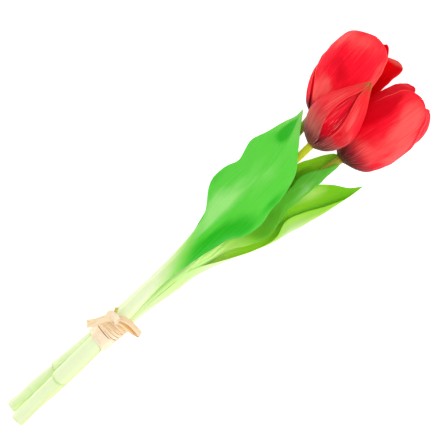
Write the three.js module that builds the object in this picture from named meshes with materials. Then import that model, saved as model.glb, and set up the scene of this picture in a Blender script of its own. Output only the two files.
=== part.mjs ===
// Bunch of three artificial tulips lying on a table, held by a raffia tie.
// Millimetres, +Z up, +X along the bunch from the stem ends to the flowers, +Y across it.
// Every petal, leaf sheath, leaf blade, stem, wire and strip of raffia is a closed body of its own.
import * as THREE from 'three';
import { ParametricGeometry } from 'three/addons/geometries/ParametricGeometry.js';
import { mergeVertices } from 'three/addons/utils/BufferGeometryUtils.js';

// ---------------------------------------------------------------- driving dimensions (mm, degrees)
const ORIGIN = [-16.44, -11.6, -0.06];      // point of the layout below that becomes the origin
const GAP = 0.3;                         // air left between neighbouring bodies
const PETAL_THICKNESS = 1.0;
const SHEATH_THICKNESS = 0.7;
const SHEATH_GAP = 0.3;                  // between a stem and the sheath round it
const BLADE_THICKNESS = 1.1;
const SHEATH_ANGLE = 172;                // a sheath is a tube with a slit: half of its arc
const WIRE_RADIUS = 0.65;
const BORE_RADIUS = 1.05;
const BORE_FLOOR = 10;                   // solid length at the lower end of a stem
const COLLAR_HEIGHT = 2.4;               // collar that closes the base of a flower
const PETAL_SPIRAL = 0.03;               // each petal tucks one edge under its neighbour

// stems: x, y, z, radius along the centre line, from the cut end to the flower
const STEM_A = [[-188.3, -0.4, 4.9, 4.4], [-150, -1.7, 5.0, 3.9], [-105, -2.8, 5.4, 2.7], [-63, -3.4, 7.2, 2.7], [-20, -2.6, 11, 2.7],
  [25, -0.4, 15.2, 2.7], [60, 1.8, 19, 2.7], [80, 3.8, 20.8, 2.7], [92.4, 5.1, 20.9, 2.7]];
const STEM_B = [[-190.3, -9.2, 14.9, 5.0], [-150, -7.8, 14.8, 4.6], [-105, -6.7, 14.7, 4.2], [-63, -5.0, 17.2, 3.4], [-20, -5.2, 24, 2.9],
  [25, -7.2, 34.5, 2.6], [50, -8.3, 42, 2.5], [64, -8.6, 46.0, 2.5], [75.9, -8.33, 48.3, 2.5]];
const STEM_C = [[-180, -9.8, 4.9, 3.8], [-150, -10.6, 5.0, 3.9], [-105, -11.0, 5.4, 2.7], [-63, -12.7, 7.2, 2.7], [-35, -14.8, 9.2, 2.7],
  [0, -18.2, 12.2, 2.7], [40, -22.4, 16.6, 2.7], [76, -27.5, 20.9, 2.7], [85.4, -28.7, 21.3, 2.7]];
// pivot of each neck, as x along its stem
const NECK_A = 78, NECK_B = 64, NECK_C = 75;

// flowers: base point, axis, petal stations (t, radius, height, half angle) and azimuths of the outer petals,
// measured from straight up towards -Y; tip = how far a petal leans out (+) or in (-) at its tip
const STATIONS = [0, 0.04, 0.12, 0.25, 0.45, 0.65, 0.82, 0.93, 1];
const FLOWER_A = {
  base: [95, 5.4, 20.9], axis: [0.9945, 0.1045, 0],
  outer: { r: [5.4, 8.6, 13.4, 17.6, 19.8, 20.2, 19.4, 16.8, 13.0], h: [0, 1.2, 5.5, 14, 26.5, 39.5, 50.5, 57.8, 61.2], a: [57, 57, 57, 58, 62, 62, 54, 37, 0] },
  inner: { r: [3.5, 5.6, 10.0, 14.0, 16.2, 16.6, 15.6, 12.6, 8.8], h: [0.3, 2.2, 7, 15, 26.5, 38.5, 48.8, 56, 59.2], a: [52, 52, 52, 52, 54, 52, 44, 30, 0] },
  azimuths: [-22, 98, 218], tips: [0, 3, 1], pistil: true };
const FLOWER_B = {
  base: [78.4, -8.2, 48.6], axis: [0.9901, 0.0519, 0.1301],
  outer: { r: [5.0, 7.6, 11.4, 14.4, 15.6, 13.8, 9.6, 5.4, 2.4], h: [0, 1, 4.5, 10.5, 18, 29, 41, 50.5, 56], a: [57, 57, 57, 59, 61, 61, 58, 46, 0] },
  inner: { r: [3.3, 4.6, 8.0, 11.0, 12.2, 10.4, 6.4, 2.9, 1.3], h: [0.3, 2.0, 6, 11.5, 18.5, 28.5, 39, 47, 51], a: [50, 50, 50, 50, 50, 48, 44, 34, 0] },
  azimuths: [-52, 68, 188], tips: [0, 0, 0], pistil: false };
const FLOWER_C = {
  base: [88, -29, 21.3], axis: [0.9925, -0.1219, 0],
  outer: { r: [5.4, 9.0, 14.2, 18.2, 19.8, 19.6, 18.8, 16.4, 12.8], h: [0, 1.2, 5.5, 14, 26.5, 39.8, 51, 58.6, 62.4], a: [57, 57, 57, 58, 62, 62, 54, 37, 0] },
  inner: { r: [3.5, 5.8, 10.6, 14.4, 16.0, 15.8, 14.8, 12.2, 8.8], h: [0.3, 2.2, 7, 15, 26.5, 38.8, 49.6, 56.8, 60.5], a: [52, 52, 52, 52, 54, 52, 44, 30, 0] },
  azimuths: [16, 136, 256], tips: [0, 1, 2], pistil: true };

// leaves: sheath = x range of the closed tube on the stem, widen = how far it swells at its upper end, bend = x where the
// blade bends away; open = midrib x, y, z, half width and half arc angle on the left, half width and half arc angle on the
// right, flattening of the right arc; side = +1 when the blade lies under the stem, -1 when it lies over it. The right half of
// the inner leaf folds up and over its stem
const LEAF_FRONT = { side: -1, sheath: [-153, -56], widen: 0, bend: -31, open: [
  [-36.7, -4.6, 26.6, 5.4, 112, 6.4, 112], [-20.8, -4.0, 29.6, 6.3, 80, 9.8, 80],
  [-6.8, -3.5, 32.0, 9.0, 62, 13.8, 62], [8.0, -3.0, 35.4, 18.2, 42, 20.8, 42], [24.0, -1.9, 39.4, 21.3, 28, 20.7, 26],
  [39.9, -0.9, 43.6, 19.4, 22, 19.2, 20], [52.9, 0.9, 48.2, 18.8, 18, 15.8, 16], [65.0, 3.7, 52.0, 13.2, 15, 9.2, 12],
  [75.8, 6.8, 54.4, 8.0, 12, 3.7, 10], [82.4, 9.2, 55.4, 3.1, 10, 1.2, 10], [87.8, 12.1, 56.0, 0, 8, 0, 8]] };
const LEAF_OUTER = { side: 1, sheath: [-120, -38], widen: 1.7, bend: -32, open: [
  [-27, -16.2, 4.2, 5.3, 110, 6.2, 150], [-20, -17.5, 4.0, 5.6, 72, 7.2, 130],
  [-9, -19.6, 3.4, 5.4, 40, 8.8, 108], [6.6, -25.0, 3.2, 6.0, 26, 10.1, 92], [20.6, -31.1, 3.2, 7.4, 26, 8.4, 92],
  [32.6, -35.0, 3.4, 9.4, 30, 6.6, 104], [44.6, -38.8, 3.8, 12.0, 34, 6.1, 98], [56.4, -42.9, 4.6, 13.8, 38, 4.7, 80],
  [68.1, -47.0, 5.6, 9.3, 36, 2.9, 60], [77.6, -50.4, 6.6, 2.9, 30, 1.5, 40], [85.5, -52.7, 7.4, 0, 25, 0, 25]] };
const LEAF_INNER = { side: 1, sheath: [-62, -34], widen: 0, bend: -12, stations: 22, slices: 18, open: [
  [-20, -16.0, 6.75, 3.6, 110, 3.75, 150, 1], [-9, -16.2, 7.3, 4.4, 70, 6.3, 165, 0.65], [3, -15.8, 8.2, 5.0, 48, 13.0, 172, 0.335],
  [17.7, -16.0, 9.5, 5.8, 36, 17.6, 174, 0.26], [28, -16.6, 10.6, 6.4, 32, 15.4, 174, 0.3], [38.5, -17.4, 11.8, 7.2, 30, 12.4, 173, 0.375],
  [48, -18.4, 12.6, 7.8, 28, 11.5, 170, 0.43], [57.8, -18.2, 13.5, 7.7, 28, 12.2, 174, 0.445], [66.7, -20.2, 14.6, 6.6, 28, 10.9, 172, 0.52],
  [70, -21.2, 14.9, 5.8, 28, 10.6, 152, 0.56], [74, -22.6, 15.6, 5.0, 29, 9.2, 100, 0.5], [79.5, -25.0, 16.1, 4.2, 32, 6.6, 62, 0.34],
  [83, -26.6, 15.4, 3.8, 34, 4.6, 45, 0.5], [86.4, -28.2, 14.2, 0, 30, 0, 30, 1]] };
const LEAF_BACK = { side: 1, sheath: [-149.5, -60], widen: 0, bend: -38, open: [
  [-40, -3.2, 4.0, 3.7, 96, 4.5, 96], [-20, -2.2, 4.4, 4.2, 60, 6.4, 60],
  [0, 0.4, 4.5, 7.4, 42, 7.8, 42], [20, 2.8, 4.9, 9.8, 32, 8.0, 32], [40, 4.6, 5.8, 9.0, 26, 7.0, 26],
  [58, 6.0, 6.8, 6.0, 22, 5.0, 22], [70, 6.8, 7.6, 3.0, 20, 2.5, 20], [78, 7.4, 8.2, 0, 20, 0, 20]] };

// raffia tie: x ranges of the two wraps, thickness, and the paths and sizes of its loose ends
const TIE_LOWER = [-114.5, -107], TIE_UPPER = [-106.4, -95];
const TIE_CLEAR = 0.45, TIE_LOWER_THICK = 1.0, TIE_UPPER_THICK = 1.5;
const KNOT = { at: [-96, -3.2, 24.4], size: [3.4, 3.3, 2.3] };
const TAIL_LEFT = { path: [[-98.6, 0.9, 23.6], [-102.2, 3.2, 21.2], [-106.5, 5.2, 18.2], [-111, 6.6, 16.2]], across: [-0.8, -0.55, 0.2], width: 5.0, thick: 0.7 };
const LOOP_RIGHT = { path: [[-94.6, -7.6, 24.6], [-92.2, -12.5, 25.4], [-89.8, -18, 24.2], [-88.4, -22.6, 20.6], [-90.0, -22.4, 17.8], [-92.6, -19.4, 18.2]], across: [0.82, 0.4, 0.35], width: 4.6, thick: 0.7 };
const STUB = { path: [[-92.2, -1.2, 24.2], [-90.6, -0.2, 25.0], [-88.9, 0.8, 25.4]], across: [-0.5, 0.8, 0.2], width: 1.8, thick: 0.8 };

// ---------------------------------------------------------------- materials
const mat = (color, roughness, metalness = 0) => new THREE.MeshStandardMaterial({ color, roughness, metalness });
const RED = mat(0xd2141e, 0.5), RED_INNER = mat(0xb00d1c, 0.55), GREEN = mat(0x4fae3c, 0.5), GREEN_PALE = mat(0xb9d88c, 0.5);
const STEM_GREEN = mat(0xc6dd9c, 0.5), STEEL = mat(0x8d9094, 0.35, 1), RAFFIA = mat(0xe8cf9f, 0.8), CORE = mat(0x8c9b4c, 0.6), PISTIL = mat(0xd8cf7a, 0.6);

// ---------------------------------------------------------------- helpers
const V = (a) => new THREE.Vector3(a[0], a[1], a[2]);
const UP = new THREE.Vector3(0, 0, 1);
const rad = THREE.MathUtils.degToRad;

// smooth curve through the values vs at the knots ts
function hermite(ts, vs, t) {
  const n = ts.length;
  t = Math.min(Math.max(t, ts[0]), ts[n - 1]);
  let i = 0;
  while (i < n - 2 && t > ts[i + 1]) i++;
  const slope = (k) => {
    if (k === 0) return (vs[1] - vs[0]) / (ts[1] - ts[0]);
    if (k === n - 1) return (vs[n - 1] - vs[n - 2]) / (ts[n - 1] - ts[n - 2]);
    const a = ts[k] - ts[k - 1], b = ts[k + 1] - ts[k];
    return (b * (vs[k] - vs[k - 1]) / a + a * (vs[k + 1] - vs[k]) / b) / (a + b);
  };
  const h = ts[i + 1] - ts[i], x = (t - ts[i]) / h, x2 = x * x, x3 = x2 * x;
  return (2 * x3 - 3 * x2 + 1) * vs[i] + (x3 - 2 * x2 + x) * h * slope(i) + (3 * x2 - 2 * x3) * vs[i + 1] + (x3 - x2) * h * slope(i + 1);
}
const row = (ts, rows, t) => rows[0].map((_, c) => hermite(ts, rows.map((r) => r[c]), t));

// joins doubled points, drops empty triangles and turns the faces outwards
function closed(geometry) {
  for (const name of Object.keys(geometry.attributes)) if (name !== 'position') geometry.deleteAttribute(name);
  const g = mergeVertices(geometry, 1e-3);
  const p = g.attributes.position, idx = g.index.array, keep = [];
  const a = new THREE.Vector3(), b = new THREE.Vector3(), c = new THREE.Vector3();
  let volume = 0;
  for (let i = 0; i < idx.length; i += 3) {
    const [i0, i1, i2] = [idx[i], idx[i + 1], idx[i + 2]];
    if (i0 === i1 || i1 === i2 || i2 === i0) continue;
    keep.push(i0, i1, i2);
    a.fromBufferAttribute(p, i0); b.fromBufferAttribute(p, i1); c.fromBufferAttribute(p, i2);
    volume += a.dot(b.cross(c));
  }
  if (volume < 0) for (let i = 0; i < keep.length; i += 3) [keep[i + 1], keep[i + 2]] = [keep[i + 2], keep[i + 1]];
  g.setIndex(keep);
  g.computeVertexNormals();
  return g;
}

// closed surface through a list of rings, all with the same number of points
function loft(rings) {
  const stacks = rings.length - 1, slices = rings[0].length;
  const f = (u, v, target) => { target.copy(rings[Math.round(v * stacks)][Math.round(u * slices) % slices]); };
  return closed(new ParametricGeometry(f, slices, stacks));
}

// round body along a stem: profile = list of [x along the stem, radius]
function stemBody(stem, profile, sides = 10) {
  const xs = stem.map((r) => r[0]);
  const at = (x) => V(row(xs, stem, x));
  return loft(profile.map(([x, r]) => {
    const c = at(x), t = at(x + 0.5).sub(at(x - 0.5));
    if (x + 0.5 > xs[xs.length - 1]) t.copy(at(xs[xs.length - 1]).sub(at(xs[xs.length - 1] - 1)));
    if (x - 0.5 < xs[0]) t.copy(at(xs[0] + 1).sub(at(xs[0])));
    t.normalize();
    const side = new THREE.Vector3().crossVectors(t, UP).normalize(), up = new THREE.Vector3().crossVectors(side, t);
    return Array.from({ length: sides }, (_, k) => {
      const w = 2 * Math.PI * (k + 0.5) / sides;
      return c.clone().addScaledVector(side, r * Math.cos(w)).addScaledVector(up, r * Math.sin(w));
    });
  }));
}
const stemRow = (stem, x) => row(stem.map((r) => r[0]), stem, x);

// point of a leaf: section is an arc left and right of the midrib
function leafPoint(ts, rows, side, t, s) {
  const [x, y, z, dl, bl, dr, br, flat] = row(ts, rows, t);
  const e = 1e-3, p0 = row(ts, rows, Math.max(t - e, ts[0])), p1 = row(ts, rows, Math.min(t + e, ts[ts.length - 1]));
  const tan = V(p1).sub(V(p0)).normalize();
  const right = new THREE.Vector3().crossVectors(tan, UP).normalize();
  const inner = new THREE.Vector3().crossVectors(right, tan).multiplyScalar(side);
  const d = Math.max(s < 0 ? dl : dr, 0), b = rad(s < 0 ? bl : br), m = Math.sin(Math.min(b, Math.PI / 2));
  const k = Math.abs(s);
  return new THREE.Vector3(x, y, z).addScaledVector(right, Math.sign(s) * d * Math.sin(b * k) / m).addScaledVector(inner, (s > 0 ? flat : 1) * d * (1 - Math.cos(b * k)) / m);
}
// thin closed body on both sides of a surface point(t, s); thickness falls to nothing at the edges
function shell(point, tList, halfThickness, n) {
  const rings = tList.map(([t, k]) => {
    const ring = [];
    for (let j = 0; j < 2 * n; j++) {
      const front = j <= n, s = front ? -1 + 2 * j / n : 1 - 2 * (j - n) / n;
      const e = 2e-3, ds = point(t, Math.min(s + e, 1)).sub(point(t, Math.max(s - e, -1))), dt = point(Math.min(t + e, 1), s).sub(point(Math.max(t - e, 0), s));
      const normal = ds.cross(dt);
      if (normal.length() > 1e-12) normal.normalize();
      const edge = j === 0 || j === n ? 0 : 1 - 0.35 * s * s;
      ring.push(point(t, s).addScaledVector(normal, (front ? 1 : -1) * halfThickness * edge * k));
    }
    return ring;
  });
  return loft(rings);
}
const chord = (rows) => {
  const d = [0];
  for (let i = 1; i < rows.length; i++) d.push(d[i - 1] + V(rows[i]).distanceTo(V(rows[i - 1])));
  return d.map((v) => v / d[d.length - 1]);
};

// rows of a whole leaf, sheath first
function leafRows(stem, leaf) {
  const [x0, x1] = leaf.sheath, rows = [];
  for (let i = 0; i <= 6; i++) {
    const x = x0 + (x1 - x0) * i / 6, s = stemRow(stem, x);
    const r = s[3] + SHEATH_GAP + SHEATH_THICKNESS / 2 + leaf.widen * THREE.MathUtils.smoothstep(i / 6, 0.45, 0.85);
    rows.push([s[0], s[1], s[2] - leaf.side * r, r, SHEATH_ANGLE, r, SHEATH_ANGLE]);
  }
  return rows.concat(leaf.open).map((r) => (r.length < 8 ? [...r, 1] : r));
}
// the sheath and the blade of a leaf, parted at the bend
function leafParts(stem, leaf) {
  const rows = leafRows(stem, leaf), ts = chord(rows), xs = rows.map((r) => r[0]);
  let lo = 0, hi = 1;
  for (let i = 0; i < 40; i++) { const m = (lo + hi) / 2; if (hermite(ts, xs, m) < leaf.bend) lo = m; else hi = m; }
  const point = (t, s) => leafPoint(ts, rows, leaf.side, t, s);
  const cut = 0.0012, ramp = 0.0025, part = (t0, t1, n, end) => [[t0, 0], [t0 + ramp, 1],
    ...Array.from({ length: n }, (_, i) => [t0 + (t1 - t0) * (i + 1) / (n + 1), 1]), ...end];
  return [
    shell(point, part(0, lo - cut, 9, [[lo - cut - ramp, 1], [lo - cut, 0]]), SHEATH_THICKNESS / 2, 10),
    shell(point, part(lo + cut, 1, leaf.stations ?? 14, [[1, 0]]), BLADE_THICKNESS / 2, leaf.slices ?? 8),
  ];
}

// frame of a flower: axis, direction across it (towards -Y) and up
function flowerFrame(flower) {
  const w = V(flower.axis).normalize(), v = new THREE.Vector3().crossVectors(w, UP).normalize();
  return { base: V(flower.base), w, v, u: new THREE.Vector3().crossVectors(v, w) };
}
function petal(flower, layer, azimuth, tip, n = 6) {
  const { base, w, v, u } = flowerFrame(flower), p = flower[layer];
  const point = (t, s) => {
    const lean = tip * THREE.MathUtils.smoothstep(t, 0.55, 1);
    const r = (hermite(STATIONS, p.r, t) + lean) * (1 + PETAL_SPIRAL * s);
    const f = rad(azimuth + Math.max(hermite(STATIONS, p.a, t), 0) * s);
    const h = hermite(STATIONS, p.h, t);
    return base.clone().addScaledVector(w, h).addScaledVector(u, r * Math.cos(f)).addScaledVector(v, r * Math.sin(f));
  };
  const list = [[0, 0], [0.006, 1], [0.05, 1], [0.13, 1], [0.25, 1], [0.42, 1], [0.6, 1], [0.76, 1], [0.88, 0.9], [0.95, 0.8], [1, 0]];
  return shell(point, list, PETAL_THICKNESS / 2, n);
}
// body of revolution on the axis of a flower, from [radius, height] points
function turned(flower, points, sides = 12) {
  const { base, w, v, u } = flowerFrame(flower);
  const g = new THREE.LatheGeometry(points.map(([r, h]) => new THREE.Vector2(r, h)), sides);
  g.applyMatrix4(new THREE.Matrix4().makeBasis(v, w, new THREE.Vector3().crossVectors(v, w)).setPosition(base));
  return closed(g);
}

// raffia wrap: band round the three sheaths between two x positions
function wrap(x0, x1, clear, thick) {
  const xm = (x0 + x1) / 2;
  const discs = [STEM_A, STEM_B, STEM_C].map((stem) => {
    const [, y, z, r] = stemRow(stem, xm);
    return [y, z, r + SHEATH_GAP + SHEATH_THICKNESS + clear];
  });
  const outline = (grow, n) => {
    const pts = [];
    for (let k = 0; k < n; k++) {
      const f = 2 * Math.PI * k / n, c = Math.cos(f), s = Math.sin(f);
      const [y, z, r] = discs.reduce((a, d) => (d[0] * c + d[1] * s + d[2] > a[0] * c + a[1] * s + a[2] ? d : a));
      pts.push(new THREE.Vector2(y + (r + grow) * c, z + (r + grow) * s));
    }
    return pts;
  };
  const shape = new THREE.Shape(outline(thick, 30));
  shape.holes.push(new THREE.Path(outline(0.12, 30)));
  const g = new THREE.ExtrudeGeometry(shape, { depth: x1 - x0, bevelEnabled: false, steps: 1 });
  g.applyMatrix4(new THREE.Matrix4().makeBasis(new THREE.Vector3(0, 1, 0), new THREE.Vector3(0, 0, 1), new THREE.Vector3(1, 0, 0)).setPosition(x0, 0, 0));
  return closed(g);
}
// flat strip of raffia along a path
function strip({ path, across, width, thick }, n = 14) {
  const curve = new THREE.CatmullRomCurve3(path.map(V), false, 'centripetal');
  const rings = [];
  const ring = (t, k) => {
    const c = curve.getPoint(t), tan = curve.getTangent(t);
    const flat = V(across).addScaledVector(tan, -V(across).dot(tan)).normalize(), up = new THREE.Vector3().crossVectors(tan, flat);
    return [[-1, -1], [1, -1], [1, 1], [-1, 1]].map(([a, b]) => c.clone().addScaledVector(flat, k * a * width / 2).addScaledVector(up, k * b * thick / 2));
  };
  rings.push(ring(0, 0));
  for (let i = 0; i <= n; i++) rings.push(ring(i / n, 1));
  rings.push(ring(1, 0));
  return loft(rings);
}

// ---------------------------------------------------------------- assembly
const bunch = new THREE.Group();
bunch.name = 'tulip_bunch';
function add(name, geometry, material) {
  geometry.translate(-ORIGIN[0], -ORIGIN[1], -ORIGIN[2]);
  const mesh = new THREE.Mesh(geometry, material);
  mesh.name = name;
  bunch.add(mesh);
}

function tulip(k, stem, pivot, flower) {
  const x0 = stem[0][0], x1 = stem[stem.length - 1][0], rp = stemRow(stem, pivot)[3];
  // lower stem: solid cut end, blind bore for the wire, flat top just under the ball of the neck
  const top = pivot - rp - 0.5;
  const rings = [[x0, 0], [x0, 0.88 * stem[0][3]], [x0 + 1.0, stem[0][3]]];
  for (let i = 1; i <= 10; i++) { const x = x0 + 1 + (top - x0 - 1) * i / 10; rings.push([x, stemRow(stem, x)[3]]); }
  rings.push([top, BORE_RADIUS]);
  for (let i = 9; i >= 0; i--) rings.push([x0 + BORE_FLOOR + (top - x0 - BORE_FLOOR) * i / 10, BORE_RADIUS]);
  rings.push([x0 + BORE_FLOOR, 0]);
  add(`tulip_${k}_stem`, stemBody(stem, rings), STEM_GREEN);
  const wire = [[x0 + BORE_FLOOR + GAP, 0]];
  for (let i = 0; i <= 10; i++) wire.push([x0 + BORE_FLOOR + GAP + (top - 0.2 - x0 - BORE_FLOOR - GAP) * i / 10, WIRE_RADIUS]);
  wire.push([top - 0.2, 0]);
  add(`tulip_${k}_stem_wire`, stemBody(stem, wire, 6), STEEL);
  // neck: ball end on the pivot, bore open towards the flower
  const neck = [[pivot - rp, 0], [pivot - rp * 0.9, rp * 0.436], [pivot - rp * 0.6, rp * 0.8], [pivot, rp], [(pivot + x1) / 2, rp], [x1, rp], [x1, BORE_RADIUS], [(pivot + x1) / 2, BORE_RADIUS], [pivot + 1, BORE_RADIUS], [pivot + 1, 0]];
  add(`tulip_${k}_neck`, stemBody(stem, neck), STEM_GREEN);
  add(`tulip_${k}_neck_wire`, stemBody(stem, [[pivot + 1.3, 0], [pivot + 1.3, WIRE_RADIUS], [(pivot + x1) / 2, WIRE_RADIUS], [x1 - 0.2, WIRE_RADIUS], [x1 - 0.2, 0]], 6), STEEL);
  // receptacle: collar under the petals and a stub inside them
  const core = flower.inner.r[0] - PETAL_THICKNESS / 2 - 0.45, collar = flower.outer.r[0] + 0.3;
  add(`tulip_${k}_core`, turned(flower, [[0, -COLLAR_HEIGHT + GAP], [collar * 0.62, -COLLAR_HEIGHT + GAP], [collar, -1.2], [collar, -0.55], [core, -0.55], [core, 4.5], [core * 0.6, 6], [0, 6.4]]), CORE);
  if (flower.pistil) add(`tulip_${k}_pistil`, turned(flower, [[0, 6.8], [2.2, 6.8], [2.4, 14], [2.0, 22], [3.4, 24], [3.0, 26], [0, 26.6]], 10), PISTIL);
  flower.azimuths.forEach((f, i) => add(`tulip_${k}_outer_petal_${i + 1}`, petal(flower, 'outer', f, flower.tips[i]), RED));
  flower.azimuths.forEach((f, i) => add(`tulip_${k}_inner_petal_${i + 1}`, petal(flower, 'inner', f + 60, 0), RED_INNER));
}
tulip('a', STEM_A, NECK_A, FLOWER_A);
tulip('b', STEM_B, NECK_B, FLOWER_B);
tulip('c', STEM_C, NECK_C, FLOWER_C);

for (const [name, stem, leaf] of [['leaf_front', STEM_B, LEAF_FRONT], ['leaf_outer', STEM_C, LEAF_OUTER], ['leaf_inner', STEM_C, LEAF_INNER], ['leaf_back', STEM_A, LEAF_BACK]]) {
  const [sheath, blade] = leafParts(stem, leaf);
  add(`${name}_sheath`, sheath, GREEN_PALE);
  add(`${name}_blade`, blade, GREEN);
}

add('tie_wrap_lower', wrap(TIE_LOWER[0], TIE_LOWER[1], TIE_CLEAR, TIE_LOWER_THICK), RAFFIA);
add('tie_wrap_upper', wrap(TIE_UPPER[0], TIE_UPPER[1], TIE_CLEAR, TIE_UPPER_THICK), RAFFIA);
const knot = new THREE.SphereGeometry(1, 12, 8);
knot.scale(...KNOT.size);
knot.translate(...KNOT.at);
add('tie_knot', closed(knot), RAFFIA);
add('tie_tail_left', strip(TAIL_LEFT), RAFFIA);
add('tie_loop_right', strip(LOOP_RIGHT, 18), RAFFIA);
add('tie_stub', strip(STUB, 6), RAFFIA);

export default bunch;
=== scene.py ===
import bpy, math
import numpy as np
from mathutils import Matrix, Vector


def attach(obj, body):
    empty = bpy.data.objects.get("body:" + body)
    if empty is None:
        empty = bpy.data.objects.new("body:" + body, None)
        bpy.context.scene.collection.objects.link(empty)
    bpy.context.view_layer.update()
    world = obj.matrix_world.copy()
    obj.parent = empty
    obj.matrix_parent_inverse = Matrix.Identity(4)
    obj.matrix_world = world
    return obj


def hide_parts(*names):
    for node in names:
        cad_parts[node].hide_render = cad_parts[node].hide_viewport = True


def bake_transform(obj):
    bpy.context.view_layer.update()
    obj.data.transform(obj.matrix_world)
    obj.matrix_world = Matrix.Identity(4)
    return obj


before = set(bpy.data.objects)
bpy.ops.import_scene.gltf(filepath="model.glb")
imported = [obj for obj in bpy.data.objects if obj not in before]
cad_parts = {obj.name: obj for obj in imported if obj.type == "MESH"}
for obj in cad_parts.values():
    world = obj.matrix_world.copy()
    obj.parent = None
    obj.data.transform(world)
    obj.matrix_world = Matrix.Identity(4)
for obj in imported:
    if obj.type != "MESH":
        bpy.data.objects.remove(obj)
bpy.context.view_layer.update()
rng = np.random.default_rng(7)

# ------------------------------------------------------------------ layout, millimetres, as in the CAD part
ORIGIN = np.array([-16.44, -11.6, -0.06])
STEM = {
    "a": [[-188.3, -0.4, 4.9, 4.4], [-150, -1.7, 5.0, 3.9], [-105, -2.8, 5.4, 2.7], [-63, -3.4, 7.2, 2.7], [-20, -2.6, 11, 2.7],
          [25, -0.4, 15.2, 2.7], [60, 1.8, 19, 2.7], [80, 3.8, 20.8, 2.7], [92.4, 5.1, 20.9, 2.7]],
    "b": [[-190.3, -9.2, 14.9, 5.0], [-150, -7.8, 14.8, 4.6], [-105, -6.7, 14.7, 4.2], [-63, -5.0, 17.2, 3.4], [-20, -5.2, 24, 2.9],
          [25, -7.2, 34.5, 2.6], [50, -8.3, 42, 2.5], [64, -8.6, 46.0, 2.5], [75.9, -8.33, 48.3, 2.5]],
    "c": [[-180, -9.8, 4.9, 3.8], [-150, -10.6, 5.0, 3.9], [-105, -11.0, 5.4, 2.7], [-63, -12.7, 7.2, 2.7], [-35, -14.8, 9.2, 2.7],
          [0, -18.2, 12.2, 2.7], [40, -22.4, 16.6, 2.7], [76, -27.5, 20.9, 2.7], [85.4, -28.7, 21.3, 2.7]],
}
NECK = {"a": 78.0, "b": 64.0, "c": 75.0}
# petals: t stations, radius and height over the base, and the angles between which a petal spans, measured round the
# flower axis from straight up towards -Y; tip = angle of its tip, top = where its rounded end begins,
# flare_l / flare_r = how far each margin stands out, lip = how far the end turns out
STATIONS = [0, 0.04, 0.12, 0.25, 0.45, 0.65, 0.82, 0.92, 1]
FLOWER = {
    "a": dict(base=[95, 5.4, 20.9], axis=[0.9945, 0.1045, 0]),
    "b": dict(base=[78.4, -8.2, 48.6], axis=[0.9901, 0.0519, 0.1301]),
    "c": dict(base=[88, -29, 21.3], axis=[0.9925, -0.1219, 0]),
}
H_A = [-1.9, 0.4, 5.3, 14, 26.5, 39.5, 50.5, 56.5, 61.8]
H_AI = [0.3, 2.2, 7, 15, 26.5, 38.5, 48.8, 54.5, 59.5]
H_C = [-1.9, 0.4, 5.3, 14, 26.5, 39.5, 50.8, 57.2, 62.6]
H_B = [-1.9, 0.3, 4.2, 10.2, 18, 28, 39, 46.5, 53.2]
H_BI = [0.3, 2.0, 6, 11.5, 18.5, 27.5, 37, 43.5, 48]
NONE = [0] * 9
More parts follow.
